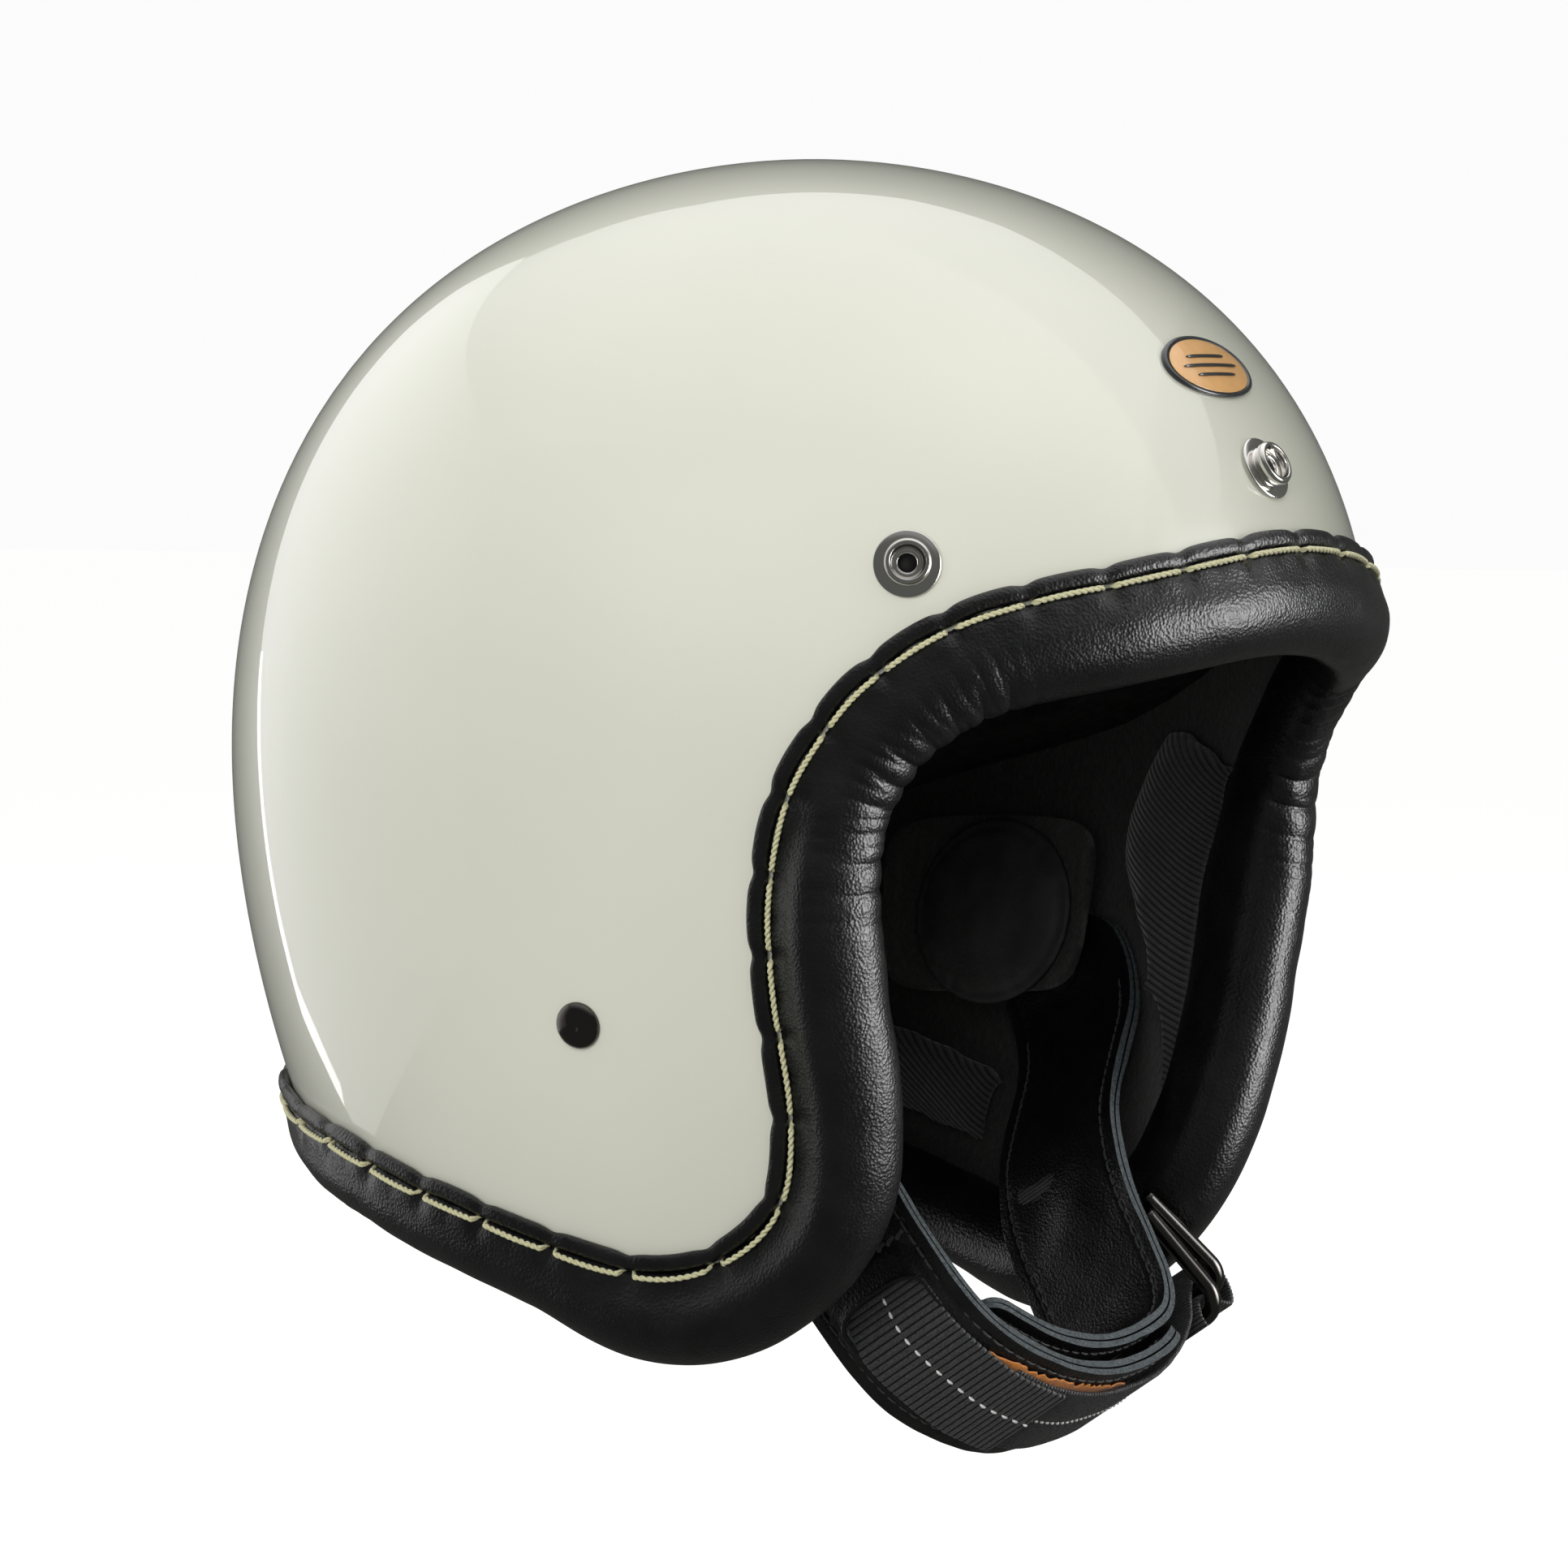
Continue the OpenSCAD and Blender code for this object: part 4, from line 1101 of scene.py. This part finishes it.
WINDOW_TOP = 106.5
WINDOW_END = 120.0
WINDOW_HALF = 13.0
WINDOW_INSET = 0.4
WINDOW_ARCH = 7.5
WINDOW_SQUARE = 3.2
WINDOW_LIP = 1.5
CROSS_SEAM = 99.0


def window_arch(w):
    """How far the window's upper edge curves down at w across the strap."""
    bend = np.clip(1 - np.abs(np.asarray(w) / WINDOW_HALF) ** WINDOW_SQUARE, 0, 1)
    return WINDOW_ARCH * (1 - bend ** (1 / WINDOW_SQUARE))


def make_window_welt():
    """The raised rim of leather round the window that the webbing comes out of."""
    half = WINDOW_HALF - WINDOW_INSET
    turn = np.linspace(-math.pi / 2, math.pi / 2, 41)
    w = half * np.sin(turn)
    s = WINDOW_TOP + window_arch(w)
    foot = np.linspace(WINDOW_END, s[0], 8)[:-1]
    w = np.concatenate([np.full(7, -half), w, np.full(7, half)])
    s = np.concatenate([foot, s, foot[::-1]])
    parts = Parts()
    sink = 0.8 * smoothstep(WINDOW_TOP + WINDOW_ARCH, WINDOW_END, s)
    add_tube(parts, RIGHT.point(s, PLY_OUTER + WINDOW_LIP - 0.1 - sink, w), 0.62, 10)
    parts.mesh("window_welt", STRAP_LEATHER, "chin_strap", "strap_leather")


def ply(name, route, side, node, seed, window=False, folds=0.0):
    """One leather ply of a strap, sewn near both edges."""
    s = np.arange(0, route.length, STRAP_STEP)
    w = across_strap()
    S, W = np.meshgrid(s, w, indexing="ij")
    S0 = S.copy()
    # the top end is rounded round the rivet, and the free end has rounded corners
    top = STRAP_HALF * (1 - np.sqrt(np.clip(1 - (W / STRAP_HALF) ** 2, 0, 1)))
    beyond = np.clip(np.abs(W) - STRAP_HALF + STRAP_CORNER, 0, None) / STRAP_CORNER
    end = STRAP_CORNER * (1 - np.sqrt(np.clip(1 - beyond ** 2, 0, 1)))
    S = S + 0.8 * top * np.clip(1 - S / STRAP_TOP_REACH, 0, 1)
    S = S - end * smoothstep(route.length - STRAP_END_REACH, route.length, S)
    if window:
        S = S + window_arch(W) * np.exp(-((S - WINDOW_TOP) / 9) ** 2)
    rest = route.point(S, 0 * S, W)
    push = 0.12 * lumps(rest, 22, seed) + 0.06 * lumps(rest, 7, seed + 1)
    push += folds * smoothstep(42, 62, S) * smoothstep(108, 88, S) * lumps(
        rest * np.array([1.0, 1.6, 0.7]), 26, seed + 2)
    groove = np.exp(-((np.abs(W) - EDGE_SEAM) / 0.7) ** 2)
    dimple = 0.5 + 0.5 * np.cos(2 * np.pi * S / STRAP_PITCH)
    push -= groove * (0.22 + 0.2 * dimple)
    if window:
        rim = np.hypot(np.clip(WINDOW_TOP - S0, 0, None),
                       np.clip(np.abs(W) - WINDOW_HALF, 0, None))
        push += WINDOW_LIP * np.exp(-rim / 2.4) * smoothstep(WINDOW_END + 14, WINDOW_END - 6, S0)
        push -= 0.6 * np.exp(-((S0 - CROSS_SEAM) / 1.2) ** 2) * (np.abs(W) < EDGE_SEAM)
    outer = route.point(S, side * (PLY_OUTER + push), W)
    gape = 0.16 * smoothstep(STRAP_HALF - 1.6, STRAP_HALF - 0.2, np.abs(W))
    inner = route.point(S, side * (PLY_INNER + gape), W)
    keep = np.ones((len(s) - 1, len(w) - 1), bool)
    if window:
        mid_s, mid_w = (s[:-1] + s[1:]) / 2, (w[:-1] + w[1:]) / 2
        keep &= ~((mid_s[:, None] > WINDOW_TOP) & (mid_s[:, None] < WINDOW_END)
                  & (np.abs(mid_w)[None, :] < WINDOW_HALF - WINDOW_INSET))
    if side < 0:
        outer, inner = outer[:, ::-1], inner[:, ::-1]
        keep = keep[:, ::-1]
    slab(name, outer, inner, keep, [STRAP_LEATHER, RAW_EDGE], node)


def edge_stitches(parts, route, side, s0, s1, w):
    """A row of small stitches along a strap."""
    for s in np.arange(s0, s1 - STRAP_PITCH, STRAP_PITCH):
        t = np.linspace(0, 1, 7)
        rise = PLY_OUTER - 0.30 + 0.32 * np.sin(np.pi * t)
        line = route.point(s + 0.3 + (STRAP_PITCH - 0.6) * t, side * rise, w)
        add_tube(parts, line, STRAP_THREAD, 6)


def cross_stitches(parts, route, side, s, half):
    """A row of slanted stitches across a strap."""
    for w in np.arange(-half, half, CROSS_PITCH):
        t = np.linspace(0, 1, 7)
        rise = PLY_OUTER - 0.1 + 0.6 * np.sin(np.pi * t)
        line = route.point(s + 0.8 * t, side * rise, w + 2.3 * t)
        add_tube(parts, line, CROSS_THREAD, 8)


def make_strap_leathers():
    """Two plies for each strap, their stitches, and the rim of the window."""
    ply("right_strap_outer_ply", RIGHT, 1, "right_strap_outer_leather", 31, window=True)
    ply("right_strap_inner_ply", RIGHT, -1, "right_strap_inner_leather", 41)
    ply("left_strap_outer_ply", LEFT, -1, "left_strap_outer_leather", 51, folds=0.35)
    ply("left_strap_inner_ply", LEFT, 1, "left_strap_inner_leather", 61, folds=0.5)
    parts = Parts()
    for route, sides in ((RIGHT, (1, -1)), (LEFT, (-1, 1))):
        for side in sides:
            for w in (-EDGE_SEAM, EDGE_SEAM):
                edge_stitches(parts, route, side, 24, route.length - 4, w)
    cross_stitches(parts, RIGHT, 1, CROSS_SEAM - 0.4, 14.5)
    parts.mesh("strap_stitches", BLACK_THREAD, "chin_strap", "waxed_thread")
    make_window_welt()


RIB_DEPTH = 0.5
RIB_GAP = 0.72
RIB_POINTS = 8
COARSE_RIB = 1.7
FINE_RIB = 0.95
WEBBING_STEP = 0.3
SELVEDGE = 11.8


def make_webbing(name, points, node, rib, seed):
    """Woven webbing: a flat band with ribs across it and looped selvedges."""
    route = Route(points, WEBBING_STEP)
    ribs = int(route.length / rib)
    s = rib * np.arange(ribs * RIB_POINTS + 1) / RIB_POINTS
    across = np.concatenate([np.linspace(0, 11.6, 16), [12.0, 12.3, WEBBING_HALF]])
    w = np.concatenate([-across[:0:-1], across])
    S, W = np.meshgrid(s, w, indexing="ij")
    wave = np.abs(np.cos(np.pi * S / rib)) ** 0.45
    half = WEBBING_THICKNESS / 2
    edge = np.sqrt(np.clip(1 - (np.clip(np.abs(W) - SELVEDGE, 0, None) / 0.72) ** 2, 0.03, 1))
    lift = (half - RIB_DEPTH * (1 - wave)) * edge
    lift += 0.03 * lumps(route.point(S, 0 * S, W), 5, seed)
    bulge = 1 + 0.025 * wave * (np.abs(W) > 11.9)
    outer = route.point(S, lift, W * bulge)
    inner = route.point(S, -lift, W * bulge)
    ring = np.concatenate([outer, inner[:, ::-1]], axis=1)
    points, faces = closed_band(ring, route.point(s[0], 0, 0), route.point(s[-1], 0, 0))
    n = ring.shape[1]
    # The faces in the troughs between the ribs get the near-black cloth: painted shade between the
    # ribs.
    gap = [int(v < RIB_GAP) for v in (wave[:-1, 0] + wave[1:, 0]) / 2]
    slots = [g for g in gap for _ in range(n)] + [0] * (2 * n)
    obj = add_mesh(name, points, faces, [WEBBING, WEBBING_GAP_SHADE], "chin_strap",
                   face_slots=slots)
    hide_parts(node)
    return route


def tracer(parts, route, s0, s1, pitch, long):
    """White dashes of the tracer yarn down the middle of the webbing."""
    for s in np.arange(s0, s1, pitch):
        t = np.linspace(0, 1, 7)
        rise = WEBBING_THICKNESS / 2 - 0.12 + 0.16 * np.sin(np.pi * t)
        line = route.point(s + long * t, rise, 0.0)
        add_tube(parts, line, 0.36 * np.sqrt(np.sin(np.pi * (0.06 + 0.88 * t))), 8)


def make_webbings():
    right = make_webbing("right_webbing_weave", RIGHT_WEBBING_ROUTE, "right_webbing",
                         COARSE_RIB, 71)
    chin = make_webbing("chin_webbing_weave", CHIN_WEBBING_ROUTE, "chin_webbing", FINE_RIB, 72)
    make_webbing("left_webbing_weave", LEFT_WEBBING_ROUTE, "left_webbing", FINE_RIB, 73)
    parts = Parts()
    tracer(parts, right, 96, right.length - 1, 2 * COARSE_RIB, 1.7)
    tracer(parts, chin, 14, chin.length - 2, 2 * FINE_RIB, 1.0)
    parts.mesh("webbing_tracer", WHITE_THREAD, "chin_strap", "webbing")


TAB_START = 131.0
TAB_END = 178.0
TAB_STEP = 0.35
TAB_COLS = 20
TAB_TEAR = 1.1
TAB_BACK = -5.5


def make_tab():
    """A ribbon with a torn front edge, between the leather and the webbing."""
    s = np.arange(TAB_START, TAB_END, TAB_STEP)
    made = np.random.default_rng(81)
    tears = np.arange(TAB_START, TAB_END + TAB_TEAR, TAB_TEAR)
    ragged = np.interp(s, tears, made.uniform(-0.9, 0.9, len(tears)))
    swell = np.sin(np.pi * (s - TAB_START) / (TAB_END - TAB_START)) ** 0.5
    front = -12.0 - 2.2 * swell + ragged * swell
    u = np.linspace(0, 1, TAB_COLS)
    W = front[:, None] + (TAB_BACK - front)[:, None] * u[None, :]
    S = s[:, None] + 0 * W
    curl = 0.7 * np.clip(1 - (W - front[:, None]) / 2.5, 0, 1) ** 2
    wavy = curl * (0.5 + 0.5 * np.sin(2 * np.pi * S / 7))
    low = RIGHT.point(S, 1.95 + 0.25 * wavy, W)
    high = RIGHT.point(S, 2.3 + 0.45 * wavy, W)
    ring = np.concatenate([high, low[:, ::-1]], axis=1)
    points, faces = closed_band(ring, low[0].mean(0), low[-1].mean(0))
    tab = add_mesh("pull_tab_ribbon", points, faces, RIBBON, "chin_strap")
    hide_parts("pull_tab")


def dress_cad_nodes():
    """Gives the CAD nodes that stay their materials."""
    looks = {"eps_liner": EPS_FOAM, "snap_washers": STEEL, "rivet_shanks": STEEL,
             "rivet_washers": STEEL, "d_ring_outer": GUNMETAL, "d_ring_inner": GUNMETAL}
    for name, material in looks.items():
        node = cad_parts[name]
        for slot in node.material_slots:
            slot.material = material


# ---- camera, floor and light ---------------------------------------------------------------
CAMERA_PLACE = (-1.83136, -1.29853, 0.06974)
CAMERA_TARGET = (-0.00141, 0.00002, -0.02658)
CAMERA_LENS = 225.44
LIGHT_TARGET = (0, 0, -0.02)


def aim(obj, place, target):
    """Puts an object at a place, looking at a target, and adds it to the scene."""
    obj.location = place
    obj.rotation_mode = "QUATERNION"
    obj.rotation_quaternion = (Vector(target) - Vector(place)).to_track_quat("-Z", "Y")
    bpy.context.scene.collection.objects.link(obj)


def make_camera():
    data = bpy.data.cameras.new("camera")
    data.lens = CAMERA_LENS
    data.sensor_width = 36.0
    data.clip_end = 50.0
    camera = bpy.data.objects.new("camera", data)
    aim(camera, CAMERA_PLACE, CAMERA_TARGET)
    bpy.context.scene.camera = camera


def area_light(name, place, size, power):
    """A white panel that lights the helmet but doesn't show in it."""
    data = bpy.data.lights.new(name, "AREA")
    data.shape = "RECTANGLE"
    data.size, data.size_y = size
    data.energy = power
    light = bpy.data.objects.new(name, data)
    aim(light, place, LIGHT_TARGET)
    light.visible_glossy = False


ROOF_HEIGHT = 1.2
REAR_DISTANCE = 1.5
FRONT_PLACE = (0.62, -1.45, -0.05)
FRONT_POWER = 19
SIDE_PLACE = (-1.9, -0.5, 0.35)
SIDE_POWER = 36
ROOF_STRENGTH = 1.25
REAR_STRENGTH = 1.35
STRIP_STRENGTH = 4.0
FRONT_STRENGTH = 13.0
FLOOR_HALF = 9
FLOOR_GLOW = 0.9
FLOOR_DROP = 0.02
ROOM_TINT = (0.96, 1.0, 0.93, 1)
BACKDROP = 0.97
ROOM_GLOW = 0.27
ROOM_SEEN = 0.1
# Outlines of the panels, whose far edges draw the line of light over the shell
ROOF_OUTLINE = [(-1.7, -2.2), (1.4, -2.2), (1.39, -0.69), (1.28, -0.28), (1.27, 0.1),
                (1.3, 0.4), (1.24, 0.61), (1.07, 0.74), (0.85, 0.88), (0.76, 1.2), (0.8, 1.5),
                (-1.7, 1.5)]
REAR_OUTLINE = [(-1.7, -0.75), (-0.02, -0.65), (0.051, -0.552), (0.126, -0.48), (0.23, -0.406),
                (0.26, -0.3), (0.28, -0.176), (0.31, -0.088), (0.36, 0.02), (0.78, 0.67),
                (0.84, 0.84), (0.84, 1.2), (-1.7, 1.2)]
STRIP_OUTLINE = REAR_OUTLINE[8:1:-1] + [(0.0, -0.53), (0.08, -0.45), (0.18, -0.38),
                                        (0.21, -0.29), (0.235, -0.176), (0.26, -0.088),
                                        (0.32, 0.02)]
FRONT_OUTLINE = [(-0.4, -0.9), (0.4, -0.9), (0.4, 0.9), (-0.4, 0.9)]


def softbox(name, centre, across, up, outline, strength, fade=None):
    """A glowing panel of any outline, which the camera doesn't see. fade is a point, the
    distances from it where the light starts and stops to fade, and the share left there."""
    centre, across, up = (np.array(v, float) for v in (centre, across, up))
    points = [centre + x * across + y * up for x, y in outline]
    mesh = bpy.data.meshes.new(name)
    mesh.from_pydata([list(p) for p in points], [], [tuple(range(len(points)))])
    glow = Look(name + "_glow", (0, 0, 0), 1.0, Emission_Strength=strength)
    glow.shader.inputs["Emission Color"].default_value = (1, 1, 1, 1)
    if fade is not None:
        place = glow.node("ShaderNodeTexCoord").outputs["Object"]
        away = glow.node("ShaderNodeVectorMath", operation="DISTANCE")
        glow.tree.links.new(place, away.inputs[0])
        away.inputs[1].default_value = fade[0]
        share = glow.node("ShaderNodeMapRange", {
            "Value": away.outputs["Value"], "From Min": fade[1], "From Max": fade[2],
            "To Min": strength, "To Max": fade[3] * strength}, interpolation_type="SMOOTHSTEP")
        glow.tree.links.new(share.outputs["Result"], glow.shader.inputs["Emission Strength"])
    mesh.materials.append(glow.material)
    obj = bpy.data.objects.new(name, mesh)
    obj.visible_camera = False
    bpy.context.scene.collection.objects.link(obj)
    return obj


def make_stage():
    """The floor, the room, and the panels that light the helmet."""
    floor_z = cad_box[0].z - FLOOR_DROP
    corners = [(-1, -1), (1, -1), (1, 1), (-1, 1)]
    points = [(FLOOR_HALF * x, FLOOR_HALF * y, floor_z) for x, y in corners]
    mesh = bpy.data.meshes.new("floor")
    mesh.from_pydata(points, [], [(0, 1, 2, 3)])
    paint = Look("floor_paint", (0.32, 0.32, 0.31), 0.9)
    paint.shader.inputs["Emission Color"].default_value = (1, 1, 1, 1)
    seen = paint.node("ShaderNodeLightPath").outputs["Is Camera Ray"]
    paint.tree.links.new(paint.maths("MULTIPLY", seen, FLOOR_GLOW),
                         paint.shader.inputs["Emission Strength"])
    mesh.materials.append(paint.material)
    floor = bpy.data.objects.new("floor", mesh)
    bpy.context.scene.collection.objects.link(floor)
    floor.visible_glossy = False

    world = bpy.data.worlds.new("studio")
    bpy.context.scene.world = world
    world.use_nodes = True
    tree = world.node_tree
    soft = tree.nodes["Background"]
    soft.inputs["Color"].default_value = ROOM_TINT
    white = tree.nodes.new("ShaderNodeBackground")
    white.inputs["Color"].default_value = (1, 1, 1, 1)
    white.inputs["Strength"].default_value = BACKDROP
    path = tree.nodes.new("ShaderNodeLightPath")
    # glossy surfaces see a darker room than the one that fills the shadows
    room = tree.nodes.new("ShaderNodeMath")
    room.operation = "MULTIPLY_ADD"
    tree.links.new(path.outputs["Is Glossy Ray"], room.inputs[0])
    room.inputs[1].default_value = ROOM_SEEN - ROOM_GLOW
    room.inputs[2].default_value = ROOM_GLOW
    tree.links.new(room.outputs[0], soft.inputs["Strength"])
    mix = tree.nodes.new("ShaderNodeMixShader")
    tree.links.new(path.outputs["Is Camera Ray"], mix.inputs["Fac"])
    tree.links.new(soft.outputs[0], mix.inputs[1])
    tree.links.new(white.outputs[0], mix.inputs[2])
    tree.links.new(mix.outputs[0], tree.nodes["World Output"].inputs["Surface"])

    softbox("roof_panel", (0, 0, ROOF_HEIGHT), (1, 0, 0), (0, 1, 0), ROOF_OUTLINE,
            ROOF_STRENGTH, ((1.0, 0.0, ROOF_HEIGHT), 0.6, 2.6, 0.2))
    softbox("rear_panel", (0, REAR_DISTANCE, 0), (1, 0, 0), (0, 0, 1), REAR_OUTLINE,
            REAR_STRENGTH, ((0.5, REAR_DISTANCE, 0.5), 0.5, 2.2, 0.2))
    softbox("rear_strip", (0, REAR_DISTANCE - 0.02, 0), (1, 0, 0), (0, 0, 1), STRIP_OUTLINE,
            STRIP_STRENGTH)
    front = softbox("front_panel", FRONT_PLACE, (0.92, 0.39, 0), (0, 0, 1), FRONT_OUTLINE,
                    FRONT_STRENGTH, (FRONT_PLACE, 0.0, 1.0, 0.0))
    front.visible_diffuse = False
    area_light("side_panel", SIDE_PLACE, (1.8, 1.6), SIDE_POWER)
    area_light("front_fill", FRONT_PLACE, (0.8, 1.8), FRONT_POWER)
    bpy.context.scene.view_settings.view_transform = "Standard"


make_camera()
make_stage()
make_shell()
make_roll()
make_bead()
make_stitches()
make_snaps()
make_rivets()
make_badge()
make_pads()
make_strap_leathers()
make_webbings()
make_tab()
dress_cad_nodes()
